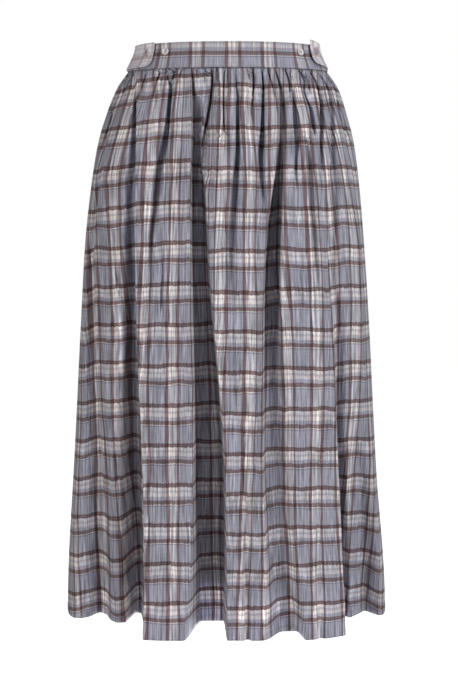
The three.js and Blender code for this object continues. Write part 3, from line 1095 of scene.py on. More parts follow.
    def warp_places(self, down: float, inset: Array) -> Array:
        """Places across the flat cloth of a row's samples, by where its stripes run.

        Little of the cloth between two stripes is spent in the narrow creases.

        Args:
            down: The row's distance down from the waist seam.
            inset: How far each sample is drawn in.

        Returns:
            The places, in millimetres.
        """
        across = self.across(down)
        bare = RING.plan(self.offsets(), down + BAND_HEIGHT)
        level = np.linalg.norm(np.diff(bare, axis=0), axis=1)
        steps = np.hypot(level, self.crease_cloth * np.diff(inset))
        lengths = np.concatenate(([0.0], np.cumsum(steps)))
        runs = np.array([line.at(down) for line in self.warps])
        marks = np.interp(runs, across, lengths)
        flat = np.array([line.cloth for line in self.warps])
        before = marks[0] / CRINKLE_TAKE_UP
        after = (lengths[-1] - marks[-1]) / CRINKLE_TAKE_UP
        marks = np.concatenate(([-0.01], marks, [lengths[-1] + 0.01]))
        flat = np.concatenate(([flat[0] - before], flat, [flat[-1] + after]))
        return np.interp(lengths, marks, flat)

    def low_rows(self, down: float, across: Array) -> Array:
        """How far the plaid's rows hang low at places across one height.

        Args:
            down: The distance down from the waist seam.
            across: The places across the panel.

        Returns:
            The drop of the rows at each place.
        """
        rows = [face.at(down) for face in self.faces]
        places = [edge for left, right, _ in rows for edge in (left, right)]
        drops = [low for _, _, low in rows for _ in range(2)]
        return np.interp(across, places, drops)

    def lay(self) -> tuple[Array, Array]:
        """Lays the panel out in rows and columns.

        Returns:
            The points by row and column, and their places in the same order, in millimetres.
        """
        counts, places = self.spread()
        grid, uv = [], []
        for down in self.rows():
            points = self.points(down, self.inset(down), SEAM_GAP)
            lengths, marks = self.anchor_lengths(down, points)
            targets, flat = [], []
            for k, count in enumerate(counts):
                part = np.arange(count) / count
                targets.append(marks[k] + (marks[k + 1] - marks[k]) * part)
                flat.append(places[k] + (places[k + 1] - places[k]) * part)
            target = np.concatenate((*targets, [marks[-1]]))
            row = np.stack([np.interp(target, lengths, points[:, axis]) for axis in range(3)], axis=-1)
            row[(0, -1), 1] = self.side.seam
            offset = np.interp(target, lengths, self.offsets())
            slip = monotone(np.array(SLIP_HEIGHTS), np.array(SIDE_SLIPS), down)
            slipped = slip * np.sin(np.radians(offset)) ** 2
            weft = down - slipped - side_rise(down, offset) - FIRST_WEFT
            if self.faces:
                weft -= self.low_rows(down, np.interp(target, lengths, self.across(down)))
            grid.append(row)
            warp = np.concatenate((*flat, [places[-1]]))
            if self.warps:
                warp = np.interp(target, lengths, self.warp_places(down, self.inset(down)))
            uv.append(np.stack((warp, weft), axis=-1))
        return np.array(grid), np.array(uv)


@dataclass
class Skirt:
    """The two panels of gathered plaid cloth."""

    wall: float = SKIRT_WALL
    hem_depth: float = 7.3
    hem_extra: float = 0.35
    flat_height: float = 0.77

    def build(self, panel: Panel, material: Material) -> Piece:
        """Makes one panel's cloth.

        Args:
            panel: The panel to make.
            material: The plaid of crinkled cloth.

        Returns:
            The finished piece.
        """
        outer, uv = panel.lay()
        normals = grid_normals(outer, seam_ends=True)
        turned = (panel.rows() > SKIRT_LENGTH - self.hem_depth)[:, None, None]
        outer_face = outer + normals * np.where(turned, self.hem_extra, 0.0)
        inner_face = outer - normals * (self.wall + np.where(turned, self.hem_extra, 0.0))
        name = f"cloth_{panel.side.word}"
        thing = shell_mesh(name, outer_face, inner_face, uv)
        finish_piece(thing, material, "plaid", f"skirt_{panel.side.word}")
        return thing


@dataclass
class Lining:
    """The slimmer, shorter inner skirt that hangs inside the cloth.

    Its ease is how far inside the bare ring it hangs: at the waist seam, just below it, and from
    the hip down. It stays clear of the troughs of the cloth, by a margin on both sides.
    """

    wall: float = 0.5
    length: float = 706.0
    top_ease: float = 2.1
    near_ease: float = 8.0
    full_ease: float = 15.0
    near_start: float = 14.0
    full_down: float = 160.0
    clear: float = 5.0
    clear_full: float = 25.0
    clear_thin: float = 0.5
    margin: float = 7.0
    columns: int = 200
    flat_height: float = 0.715
    flare_share: float = 0.82

    def ease_at(self, down: float) -> float:
        """How far the lining hangs inside the bare ring at one height.

        Args:
            down: The distance down from the waist seam.

        Returns:
            The ease.
        """
        near = self.near_ease * smooth(down, 0.0, self.near_start)
        far = (self.full_ease - self.near_ease) * smooth(down, 0.0, self.full_down)
        return self.top_ease + near + far

    def row(self, panel: Panel, down: float) -> Array:
        """One row of the lining, dented behind the troughs of the cloth.

        Args:
            panel: The panel that it hangs behind.
            down: The row's distance down from the waist seam.

        Returns:
            The row's points, in millimetres.
        """
        inset = panel.inset(down)
        step = math.radians(2 * SIDE_TURN / (panel.samples - 1)) * RING.sizes(down + BAND_HEIGHT)[1]
        reach = max(1, int(self.margin / step))
        padded = np.pad(inset, reach, mode="edge")
        windows = np.lib.stride_tricks.sliding_window_view(padded, 2 * reach + 1)
        trough = np.maximum(windows.max(axis=1), 0.0)
        blur = np.ones(reach) / reach
        trough = np.convolve(np.pad(trough, reach, mode="edge"), blur, mode="same")[reach:-reach]
        room = self.ease_at(down)
        pushed = smooth(trough, 0.0, room)
        drawn_in = (trough + self.clear * smooth(down, 0.0, self.clear_full)) * pushed
        drawn = room * (1.0 - pushed) + (SKIRT_WALL + self.clear_thin) * pushed
        return panel.points(down, drawn_in, drawn)

    def build(self, panel: Panel, material: Material) -> Piece:
        """Makes the lining behind one panel.

        Args:
            panel: The panel.
            material: The lining's material.

        Returns:
            The finished piece.
        """
        rows = np.concatenate((np.arange(0.0, 60.0, 6.0), np.linspace(60.0, self.length, 60)))
        grid, uv = [], []
        for down in rows:
            points = self.row(panel, down)
            lengths = lengths_along(points[:, :2])
            target = np.linspace(0.0, lengths[-1], self.columns + 1)
            row = np.stack([np.interp(target, lengths, points[:, axis]) for axis in range(3)], axis=-1)
            row[(0, -1), 1] = panel.side.seam
            grid.append(row)
            uv.append(np.stack((target, np.full_like(target, down)), axis=-1))
        outer = np.array(grid)
        normals = grid_normals(outer, seam_ends=True)
        name = f"inner_skirt_{panel.side.word}"
        thing = shell_mesh(name, outer, outer - normals * self.wall, np.array(uv))
        finish_piece(thing, material, "lining", f"lining_{panel.side.word}")
        LOG.info("%s made", name)
        return thing


# --- waistband, tabs and buttons ---


@dataclass
class Waistband:
    """The flat front half and the ruched, elasticated back half of the waistband."""

    wall: float = 3.0
    height: float = BAND_HEIGHT
    round_edge: float = 1.1
    columns: int = 220
    ruche_depth: float = 0.9
    ruche_pitch: float = 6.2
    channels: int = 4
    inner_ripple: float = 0.4
    back_cut: float = 1.15
    back_plaid: float = 1.45

    def outline(self) -> list[Pair]:
        """The band's cross-section.

        Returns:
            Pairs of lift and distance below the top edge, round from the top.
        """
        r, low = self.round_edge, self.height
        corner = []
        for centre_lift, centre_below, start in (
            (-r, r, 90.0),
            (-r, low - r, 0.0),
            (-self.wall + r, low - r, -90.0),
            (-self.wall + r, r, -180.0),
        ):
            for step in range(4):
                angle = math.radians(start - 30.0 * step)
                corner.append((centre_lift + r * math.cos(angle), centre_below - r * math.sin(angle)))
            if start == 0.0 or start == -180.0:
                continue
            side_lift = 0.0 if start == 90.0 else -self.wall
            span = np.linspace(r, low - r, 17)[1:-1]
            corner.extend((side_lift, float(b)) for b in (span if start == 90.0 else span[::-1]))
        return corner

    def ripple(self, side: Side, along: Array, below: float) -> Array:
        """How far the band's surface stands in or out along one line of it.

        Args:
            side: Which half.
            along: The places along it, in millimetres.
            below: The line's distance below the top edge.

        Returns:
            How far it stands out at each place.
        """
        if side is Side.FRONT:
            slow = 0.28 * np.sin(along / 31.0 + below / 19.0)
            return slow + 0.16 * np.sin(along / 12.0 - below / 23.0)
        pitch = self.ruche_pitch
        wander = 1.3 * np.sin(along / 17.0) + 0.8 * np.sin(along / 7.1 + 1.0)
        ruche = np.sin(2 * math.pi * (along + wander) / pitch) - 0.3
        held = 0.55 + 0.45 * math.cos(2 * math.pi * below / self.height * self.channels)
        return self.ruche_depth * ruche * (1.0 - 0.55 * held)

    def along(self, side: Side, turns: Array) -> Array:
        """Lengths along the middle line of one half, from its middle."""
        lengths = lengths_along(RING.plan(side.value + turns, self.height / 2))
        return lengths - lengths[-1] / 2

    def build(self, side: Side, material: Material) -> Piece:
        """Makes one half of the waistband.

        Args:
            side: Which half.
            material: The flat plaid.

        Returns:
            The finished piece.
        """
        columns = self.columns if side is Side.FRONT else self.columns * 2
        turns = np.linspace(-SIDE_TURN, SIDE_TURN, columns + 1)
        along = self.along(side, turns)
        rings, uv = [], []
        for lift, below in self.outline():
            plan = RING.plan(side.value + turns, min(max(below, 0.0), self.height))
            out = outward(plan)
            out[(0, -1), 1] = 0.0
            share = 1.0 if lift > -self.wall / 2 else self.inner_ripple
            off = lift + self.ripple(side, along, below) * share
            xy = plan + out * off[:, None]
            xy[(0, -1), 1] = side.seam
            rings.append(np.column_stack((xy, np.full(len(turns), -below))))
            stretch = 1.0 if side is Side.FRONT else self.back_plaid
            weft = np.full(len(turns), below - BAND_FIRST_WEFT)
            uv.append(np.column_stack((along * stretch - BAND_FIRST_WARP, weft)))
        points = np.array(rings)
        count, width = points.shape[:2]
        index = np.arange(count * width).reshape(count, width)
        following = np.roll(index, -1, axis=0)
        corners = (index[:, :-1], following[:, :-1], following[:, 1:], index[:, 1:])
        quads = np.stack(corners, -1).reshape(-1, 4).tolist()
        caps = [index[:, 0][::-1].tolist(), index[:, -1].tolist()]
        name = f"band_{side.word}"
        thing = cloth_mesh(name, points, quads + caps, np.array(uv), flat_faces=2)
        finish_piece(thing, material, "plaid", side.band)
        LOG.info("%s made", name)
        return thing


@dataclass(frozen=True)
class TabPlace:
    """Where a tab lies on the band, by turns from the front middle.

    Its free end stands off the band by lift and higher on it by raised. The plaid starts at
    warp_start, in millimetres along the run of stripes.
    """

    name: str
    end: float
    sewn: float
    lift: float
    raised: float
    warp_start: float


TABS = (
    TabPlace("tab_left", -60.5, -103.0, 2.4, 1.2, 29.0),
    TabPlace("tab_right", 60.5, 95.0, 3.4, 6.0, 3.0),
)


@dataclass
class Tab:
    """An adjuster tab: sewn behind the side seam, with a free end that has a round lower corner."""

    place: TabPlace
    wall: float = TAB_WALL
    columns: int = 64
    clear: float = 0.2
    puff: float = 0.35
    soft_edge: float = 0.55
    first_weft: float = 4.0
    stitch_inside: float = 2.6
    stitch_proud: float = 0.12

    def lift_at(self, part: float) -> float:
        """How far the tab's outer side stands off the band, part being 1 at the free end."""
        return SEAM_GAP + TAB_WALL + self.clear + self.place.lift * part**3

    def turn_at(self, part: float, below: float, inside: float = 0.0) -> float:
        """The turn of a point of the tab, its corner rounded.

        Args:
            part: 0 at the sewn end, 1 at the free end.
            below: The distance below the top edge.
            inside: How far it is in from the outline.

        Returns:
            The turn, in degrees.
        """
        start = TAB_HEIGHT + 1.0 - TAB_CORNER
        into = min(1.0, max(0.0, below - start) / TAB_CORNER)
        back = (TAB_CORNER * (1.0 - math.sqrt(1.0 - into**2)) + inside) / BAND_MM_PER_DEGREE
        sign = math.copysign(1.0, self.place.end)
        end = self.place.end + sign * back
        return self.place.sewn + (end - self.place.sewn) * part + BAND_TURN

    def point(self, part: float, below: float, extra: float = 0.0, inside: float = 0.0) -> Vector:
        """A point on the tab's outer side.

        Args:
            part: 0 at the sewn end, 1 at the free end.
            below: The distance below the top edge.
            extra: How far it stands off that side.
            inside: How far it is in from the outline.

        Returns:
            The point, in millimetres.
        """
        turn = self.turn_at(part, below, inside)
        puff = self.puff * math.sin(math.pi * part) * math.sin(math.pi * below / TAB_HEIGHT)
        lift = self.lift_at(part) + puff + extra
        return RING.band_point(turn, below - self.place.raised * part, lift)[0]

    def build(self, material: Material) -> Piece:
        """Makes the tab with softly rounded edges.

        Args:
            material: The tab's plaid.

        Returns:
            The finished piece.
        """
        round_part = TAB_CORNER * (1.0 - np.sin(np.linspace(0.0, 1.42, 18)))
        depths = np.concatenate((np.linspace(0.5, 22.0, 12), TAB_HEIGHT + 1.0 - round_part))
        depths = np.unique(np.round(np.clip(depths, 0.5, TAB_HEIGHT - 0.05), 2))
        parts = 1.0 - (1.0 - np.linspace(0.0, 1.0, self.columns + 1)) ** 1.25
        grid = np.array([[tuple(self.point(float(p), float(b))) for p in parts] for b in depths])
        length = abs(self.place.end - self.place.sewn) * BAND_MM_PER_DEGREE
        warps = self.place.warp_start + parts * length
        places = np.array([[(warp, b + self.first_weft) for warp in warps] for b in depths])
        if self.place.end > 0:
            grid, places = grid[:, ::-1], places[:, ::-1]
        normals = grid_normals(grid)
        thing = shell_mesh(f"{self.place.name}_cloth", grid, grid - normals * self.wall, places)
        bevel = thing.modifiers.new("soft_edge", "BEVEL")
        bevel.width = self.soft_edge * MM
        bevel.segments = 2
        bevel.limit_method = "ANGLE"
        bevel.angle_limit = math.radians(50.0)
        apply_modifiers(thing)
        finish_piece(thing, material, "plaid", self.place.name)
        return thing

    def stitch_path(self) -> list[Vector]:
        """The line of edge stitches, in from the outline.

        Returns:
            Its points, in metres.
        """
        inside = self.stitch_inside
        spots = [(part, inside) for part in np.linspace(0.25, 1.0, 24)]
        spots += [(1.0, below) for below in np.linspace(inside + 1.5, TAB_HEIGHT - inside, 18)]
        spots += [(part, TAB_HEIGHT - inside) for part in np.linspace(1.0, 0.25, 24)[1:]]
        proud = self.stitch_proud
        return [self.point(float(p), float(b), proud, inside) * MM for p, b in spots]


def apply_modifiers(thing: Piece) -> None:
    """Turns a piece with modifiers into a plain mesh.

    Args:
        thing: The piece.
    """
    graph = bpy.context.evaluated_depsgraph_get()
    shown = thing.evaluated_get(graph)
    plain = bpy.data.meshes.new_from_object(shown, preserve_all_data_layers=True, depsgraph=graph)
    old = thing.data
    thing.modifiers.clear()
    thing.data = plain
    plain.name = thing.name
    bpy.data.meshes.remove(old)


class ButtonKind(Enum):
    """The two dyes of the buttons, by the names of their materials."""

    MAUVE = "button_mauve"
    PEARL = "button_pearl"


@dataclass(frozen=True)
class ButtonPlace:
    """Where one button is sewn: its turn and height, its gap to what is behind it, and its tab."""

    node: str
    kind: ButtonKind
    turn: float
    below: float
    gap: float
    tab: int | None
    spin: float


BUTTONS = (
    ButtonPlace("button_tab_left", ButtonKind.MAUVE, -66.0, 13.5, 0.3, 0, 20.0),
    ButtonPlace("button_band_left", ButtonKind.PEARL, -51.5, 12.0, 0.9, None, 35.0),
    ButtonPlace("button_band_right", ButtonKind.PEARL, 51.5, 12.0, 0.9, None, 8.0),
    ButtonPlace("button_tab_right", ButtonKind.MAUVE, 66.0, 10.0, 0.6, 1, 50.0),
)


@dataclass
class Button:
    """A dished round button with four holes, sewn on with a cross of thread."""

    place: ButtonPlace
    radius: float = 5.0
    thick: float = 2.4
    hole_radius: float = 0.62
    hole_spread: float = 1.15
    sides: int = 64
    hole_sides: int = 20
    on_tab: float = 0.2
    sharp_turn: float = 48.0
    thread_start: float = 0.66
    thread_lift: float = 0.18
    thread_cross: float = 0.14
    thread_dip: float = 0.9

    def profile(self) -> list[Pair]:
        """The half section, from the middle of the back round to the face.

        Returns:
            Pairs of radius and height.
        """
        r, t = self.radius, self.thick
        return [
            (0.0, 0.35),
            (r * 0.5, 0.2),
            (r * 0.82, 0.0),
            (r * 0.94, t * 0.12),
            (r * 0.995, t * 0.34),
            (r, t * 0.55),
            (r * 0.985, t * 0.78),
            (r * 0.94, t * 0.93),
            (r * 0.87, t),
            (r * 0.79, t * 0.985),
            (r * 0.71, t * 0.9),
            (r * 0.64, t * 0.76),
            (r * 0.56, t * 0.68),
            (r * 0.42, t * 0.65),
            (0.0, t * 0.64),
        ]

    def ring(self, x: float, y: float, radius: float, height: float, sides: int) -> list[Point]:
        """Points of a level ring about x and y."""
        turns = (2 * math.pi * k / sides for k in range(sides))
        return [(x + radius * math.cos(t), y + radius * math.sin(t), height) for t in turns]

    def disc(self) -> Piece:
        """The lathed disc before its holes are cut, about the Z axis.

        Returns:
            The disc's object.
        """
        profile = self.profile()
        points = [(0.0, 0.0, profile[0][1])]
        for radius, height in profile[1:-1]:
            points += self.ring(0.0, 0.0, radius, height, self.sides)
        points.append((0.0, 0.0, profile[-1][1]))
        faces: list[tuple[int, ...]] = []
        rings = len(profile) - 2
        for k in range(self.sides):
            after = (k + 1) % self.sides
            faces.append((0, 1 + after, 1 + k))
            for i in range(rings - 1):
                a, b = 1 + i * self.sides, 1 + (i + 1) * self.sides
                faces.append((a + k, a + after, b + after, b + k))
            last = 1 + (rings - 1) * self.sides
            faces.append((last + k, last + after, len(points) - 1))
        mesh = bpy.data.meshes.new("disc")
        mesh.from_pydata((np.array(points) * MM).tolist(), [], faces)
        return add_object("disc", mesh)

    def hole_places(self) -> list[Pair]:
        """The middles of the four holes on the face."""
        s = self.hole_spread
        return [(s, s), (-s, s), (-s, -s), (s, -s)]

    def drill(self) -> Piece:
        """Four upright pins, joined, that cut the holes.

        Returns:
            The pins' object.
        """
        points: list[Point] = []
        faces: list[tuple[int, ...]] = []
        sides = self.hole_sides
        for x, y in self.hole_places():
            base = len(points)
            for height in (-1.0, self.thick + 1.0):
                points += self.ring(x, y, self.hole_radius, height, sides)
            faces.append(tuple(base + k for k in reversed(range(sides))))
            faces.append(tuple(base + sides + k for k in range(sides)))
            for k in range(sides):
                after = (k + 1) % sides
                faces.append((base + k, base + after, base + sides + after, base + sides + k))
        mesh = bpy.data.meshes.new("drill")
        mesh.from_pydata((np.array(points) * MM).tolist(), [], faces)
        return add_object("drill", mesh)

    def matrix(self, tabs: list[Tab]) -> Matrix:
        """Where the button lies, in metres.

        Args:
            tabs: The tabs, one of which it may be sewn through.

        Returns:
            The matrix that moves it there.
        """
        lift = self.place.gap
        if self.place.tab is not None:
            tab = tabs[self.place.tab]
            part = (self.place.turn - tab.place.sewn) / (tab.place.end - tab.place.sewn)
            lift += tab.lift_at(part) + self.on_tab
        point, out = RING.band_point(self.place.turn + BAND_TURN, self.place.below, lift)
        turn = Vector((0, 0, 1)).rotation_difference(out).to_matrix().to_4x4()
        spin = Matrix.Rotation(math.radians(self.place.spin), 4, "Z")
        return Matrix.Translation(point * MM) @ turn @ spin

    def build(self, material: Material, tabs: list[Tab]) -> Piece:
        """Makes the drilled button in its place.

        Args:
            material: The button's material.
            tabs: The tabs.

        Returns:
            The finished piece.
        """
        disc, pins = self.disc(), self.drill()
        cut = disc.modifiers.new("holes", "BOOLEAN")
        cut.operation = "DIFFERENCE"
        cut.solver = "EXACT"
        cut.object = pins
        apply_modifiers(disc)
        bpy.data.objects.remove(pins, do_unlink=True)
        disc.name = f"{self.place.node}_drilled"
        disc.data.transform(self.matrix(tabs))
        disc.data.polygons.foreach_set("use_smooth", [True] * len(disc.data.polygons))
        disc.data.set_sharp_from_angle(angle=math.radians(self.sharp_turn))
        finish_piece(disc, material, self.place.kind.value, self.place.node)
        return disc

    def thread_paths(self, tabs: list[Tab]) -> list[list[Vector]]:
        """Two short runs of thread that cross the face from hole to hole.

        Args:
            tabs: The tabs.

        Returns:
            Their points, in metres.
        """
        top = self.thick * self.thread_start
        place = self.matrix(tabs)
        paths = []
        for start, end in ((0, 2), (1, 3)):
            first, last = self.hole_places()[start], self.hole_places()[end]
            crossing = self.thread_cross if start else 0.0
            path = []
            for step in range(9):
                part = step / 8
                out = abs(2 * part - 1)
                height = top - self.thread_dip * out**6 + self.thread_lift + crossing * (1 - out)
                x, y = (a + (b - a) * part for a, b in zip(first, last))
                path.append(place @ (Vector((x, y, height)) * MM))
            paths.append(path)
        return paths


# --- stitches by Geometry Nodes ---


@dataclass
class StitchMaker:
    """Lays stitches along paths with one Geometry Nodes tree."""

    unevenness: float = 0.12
    group: bpy.types.NodeTree | None = None
    inputs: dict[str, str] = field(default_factory=dict)

    def tree(self) -> bpy.types.NodeTree:
        """Builds the tree once: a path is cut into even steps and a stitch is put on each.

        Returns:
            The tree.
        """
        if self.group:
            return self.group
        tree = bpy.data.node_groups.new("stitches_on_a_path", "GeometryNodeTree")
        face = tree.interface
        face.new_socket("Path", in_out="INPUT", socket_type="NodeSocketGeometry")
        for label, start in (
            ("Pitch", 3.4 * MM),
            ("Length", 2.4 * MM),
            ("Thickness", 0.42 * MM),
            ("Unevenness", self.unevenness),
        ):
            socket = face.new_socket(label, in_out="INPUT", socket_type="NodeSocketFloat")
            socket.default_value = start
            self.inputs[label] = socket.identifier
        thread = face.new_socket("Thread", in_out="INPUT", socket_type="NodeSocketMaterial")
        self.inputs["Thread"] = thread.identifier
        face.new_socket("Stitches", in_out="OUTPUT", socket_type="NodeSocketGeometry")
        kit = NodeKit(tree)
        given = kit.add("NodeGroupInput").outputs
        curve = kit.add("GeometryNodeMeshToCurve", {"Mesh": given["Path"]})
        cut = {"Curve": curve.outputs["Curve"], "Length": given["Pitch"]}
        steps = kit.add("GeometryNodeResampleCurve", cut, mode="LENGTH")
        tangent = kit.add("GeometryNodeInputTangent").outputs["Tangent"]
        align = kit.add("FunctionNodeAlignEulerToVector", {"Vector": tangent}, axis="Z")
        sphere = kit.add("GeometryNodeMeshUVSphere", {"Segments": 6, "Rings": 5, "Radius": 0.5})
        low = kit.math("SUBTRACT", 1.0, given["Unevenness"])
        high = kit.math("ADD", 1.0, given["Unevenness"])
        spread = {2: low, 3: high, "Seed": 7}
        uneven = kit.add("FunctionNodeRandomValue", spread, data_type="FLOAT").outputs[1]
        long = kit.math("MULTIPLY", given["Length"], uneven)
        thick = given["Thickness"]
        size = kit.add("ShaderNodeCombineXYZ", {"X": thick, "Y": thick, "Z": long})
        laid = {
            "Points": steps.outputs["Curve"],
            "Instance": sphere.outputs["Mesh"],
            "Rotation": align.outputs["Rotation"],
            "Scale": size.outputs["Vector"],
        }
        onto = kit.add("GeometryNodeInstanceOnPoints", laid).outputs["Instances"]
        real = kit.add("GeometryNodeRealizeInstances", {"Geometry": onto}).outputs["Geometry"]
        soft = kit.add("GeometryNodeSetShadeSmooth", {"Geometry": real}).outputs["Geometry"]
        dressed = {"Geometry": soft, "Material": given["Thread"]}
        dress = kit.add("GeometryNodeSetMaterial", dressed).outputs["Geometry"]
        kit.add("NodeGroupOutput", {"Stitches": dress})
        self.group = tree
        return tree

    def sew(
        self,
        name: str,
        paths: list[list[Vector]],
        thread: Material,
        pitch: float,
        length: float,
        thickness: float,
    ) -> Piece:
        """Sews one piece of stitches along some paths.

        Args:
            name: The piece's name.
            paths: Lists of points in metres.
            thread: The thread's material.
            pitch: From one stitch to the next, in millimetres.
            length: A stitch's length, in millimetres.
            thickness: A stitch's thickness, in millimetres.

        Returns:
            The finished piece.
        """
        points: list[Vector] = []
        edges: list[tuple[int, int]] = []
        for path in paths:
            edges.extend((len(points) + k, len(points) + k + 1) for k in range(len(path) - 1))
            points.extend(path)
        mesh = bpy.data.meshes.new(name)
        mesh.from_pydata([tuple(p) for p in points], edges, [])
        thing = add_object(name, mesh)
        maker = thing.modifiers.new("stitches", "NODES")
        maker.node_group = self.tree()
        maker[self.inputs["Pitch"]] = pitch * MM
        maker[self.inputs["Length"]] = length * MM
        maker[self.inputs["Thickness"]] = thickness * MM
        maker[self.inputs["Thread"]] = thread
        apply_modifiers(thing)
        finish_piece(thing, thread, "plaid")
        LOG.info("%s: %d faces", name, len(thing.data.polygons))
        return thing


def hem_path(panel: Panel, up: float = 7.0, proud: float = 0.5) -> list[Vector]:
    """The line of the hem's stitches on the outer side of a panel.

    Args:
        panel: The panel.
        up: How far above the hem it runs.
        proud: How far it stands off the cloth's middle surface.

    Returns:
        Its points, in metres.
    """
    down = SKIRT_LENGTH - up
    points = panel.points(down, panel.inset(down), SEAM_GAP)
    points[:, :2] += outward(points) * proud
    return [Vector(p) for p in (points[4:-4:2] * MM).tolist()]


def band_path(band: Waistband, side: Side, below: float, proud: float = 0.12) -> list[Vector]:
    """A line round one half of the waistband, for stitches.

    Args:
        band: The waistband.
        side: Which half.
        below: The line's distance below the top edge.
        proud: How far it stands off the band.

    Returns:
        Its points, in metres.
    """
    turns = np.linspace(-SIDE_TURN + 1.0, SIDE_TURN - 1.0, 401)
    plan = RING.plan(side.value + turns, below)
    off = proud + band.ripple(side, band.along(side, turns), below)
    xy = plan + outward(plan) * off[:, None]
    return [Vector((x * MM, y * MM, -below * MM)) for x, y in xy.tolist()]


# --- shader groups ---


class NodeKit:
    """Short ways to add and join shader nodes in one tree."""

    def __init__(self, tree: bpy.types.NodeTree) -> None:
        """Keeps the tree that nodes are added to."""
        self.tree = tree

    def join(self, source: Socket, target: Socket) -> None:
        """Joins two sockets."""
        self.tree.links.new(source, target)

    def add(
        self, kind: str, inputs: dict[str | int, object] | None = None, **settings: object
    ) -> bpy.types.Node:
        """Adds a node.

        Args:
            kind: Blender's name for it.
            inputs: What goes into its sockets, by name or number: a value, or a socket to join.
            settings: Its settings, made before its sockets are filled.

        Returns:
            The node.
        """
        node = self.tree.nodes.new(kind)
        for key, value in settings.items():
            setattr(node, key, value)
        for place, value in (inputs or {}).items():
            if isinstance(value, Socket):
                self.join(value, node.inputs[place])
            else:
                node.inputs[place].default_value = value
        return node

    def math(self, operation: str, first: object, second: object = None) -> Socket:
        """A Math node."""
        inputs = {0: first} if second is None else {0: first, 1: second}
        return self.add("ShaderNodeMath", inputs, operation=operation).outputs[0]

    def split(self, place: Socket) -> list[Socket]:
        """The X, Y and Z of a place."""
        return list(self.add("ShaderNodeSeparateXYZ", {0: place}).outputs)

    def noise(
        self, place: Socket, scale: float, detail: float = 2.0, distortion: float = 0.0
    ) -> Socket:
        """Noise about 0.5 in the middle."""
        inputs = {"Vector": place, "Scale": scale, "Detail": detail, "Distortion": distortion}
        return self.add("ShaderNodeTexNoise", inputs).outputs["Fac"]

    def streaks(
        self, x: Socket, y: Socket, wide: float, tall: float, detail: float, seed: float
    ) -> Socket:
        """Noise stretched over the cloth into streaks so many millimetres wide and tall."""
        spot = {"X": self.math("DIVIDE", x, wide), "Y": self.math("DIVIDE", y, tall), "Z": seed}
        return self.noise(self.add("ShaderNodeCombineXYZ", spot).outputs[0], 1.0, detail)

    def rescale(self, value: Socket, low: float, high: float) -> Socket:
        """A value from 0.25 to 0.75, as noise mostly is, rescaled to a range and clamped."""
        spans = {"From Min": 0.25, "From Max": 0.75, "To Min": low, "To Max": high}
        return self.add("ShaderNodeMapRange", {"Value": value} | spans).outputs["Result"]

    def mix(self, share: object, first: object, second: object) -> Socket:
        """A colour between two, each a socket or red, green, blue and alpha."""
        inputs = {"Factor": share, "A": first, "B": second}
        return self.add("ShaderNodeMix", inputs, data_type="RGBA").outputs["Result"]

    def bump(self, height: object, strength: float, distance: float) -> Socket:
        """The normal of a surface raised by a height."""
        inputs = {"Height": height, "Strength": strength, "Distance": distance}
        return self.add("ShaderNodeBump", inputs).outputs["Normal"]

    def stripes(self, place: Socket, run: tuple[Stripe, ...], soft: float) -> Socket:
        """A repeating run of stripes.

        Args:
            place: The place along the run, in millimetres.
            run: The stripes.
            soft: How wide the change is from one stripe to the next, in millimetres.

        Returns:
            The yarn's colour there.
        """
        repeat = sum(stripe.width for stripe in run)
        turn = self.math("FRACT", self.math("DIVIDE", place, repeat))
        ramp = self.add("ShaderNodeValToRGB", {"Fac": turn})
        stops = ramp.color_ramp
        stops.interpolation = "LINEAR"
        edge = 0.0
        marks: list[tuple[float, Yarn]] = []
        for stripe in run:
            half = min(soft, stripe.width * 0.45) / 2
            marks.append(((edge + half) / repeat, stripe.yarn))
            marks.append(((edge + stripe.width - half) / repeat, stripe.yarn))
            edge += stripe.width
        while len(stops.elements) < len(marks):
            stops.elements.new(1.0)
        for element, (mark, yarn) in zip(stops.elements, marks):
            element.position = mark
            element.color = (*yarn.value, 1.0)
        return ramp.outputs["Color"]

    def tint(self, colour: Socket, factor: object) -> Socket:
        """A colour made lighter or darker by a factor."""
        inputs = {0: colour, "Scale": factor}
        return self.add("ShaderNodeVectorMath", inputs, operation="SCALE").outputs[0]

    def product(self, first: object, second: object) -> Socket:
        """Two colours multiplied."""
        inputs = {0: first, 1: second}
        return self.add("ShaderNodeVectorMath", inputs, operation="MULTIPLY").outputs[0]


def solid(colour: Colour, share: float = 1.0) -> tuple[float, float, float, float]:
    """A colour, darker or lighter by a share, with full alpha."""
    return (*(part * share for part in colour), 1.0)


def blank_material(name: str) -> tuple[Material, NodeKit]:
    """A new material without nodes.

    Args:
        name: Its name.

    Returns:
        The material, and a kit for its nodes.
    """
    material = bpy.data.materials.new(name)
    material.use_nodes = True
    material.node_tree.nodes.clear()
    return material, NodeKit(material.node_tree)


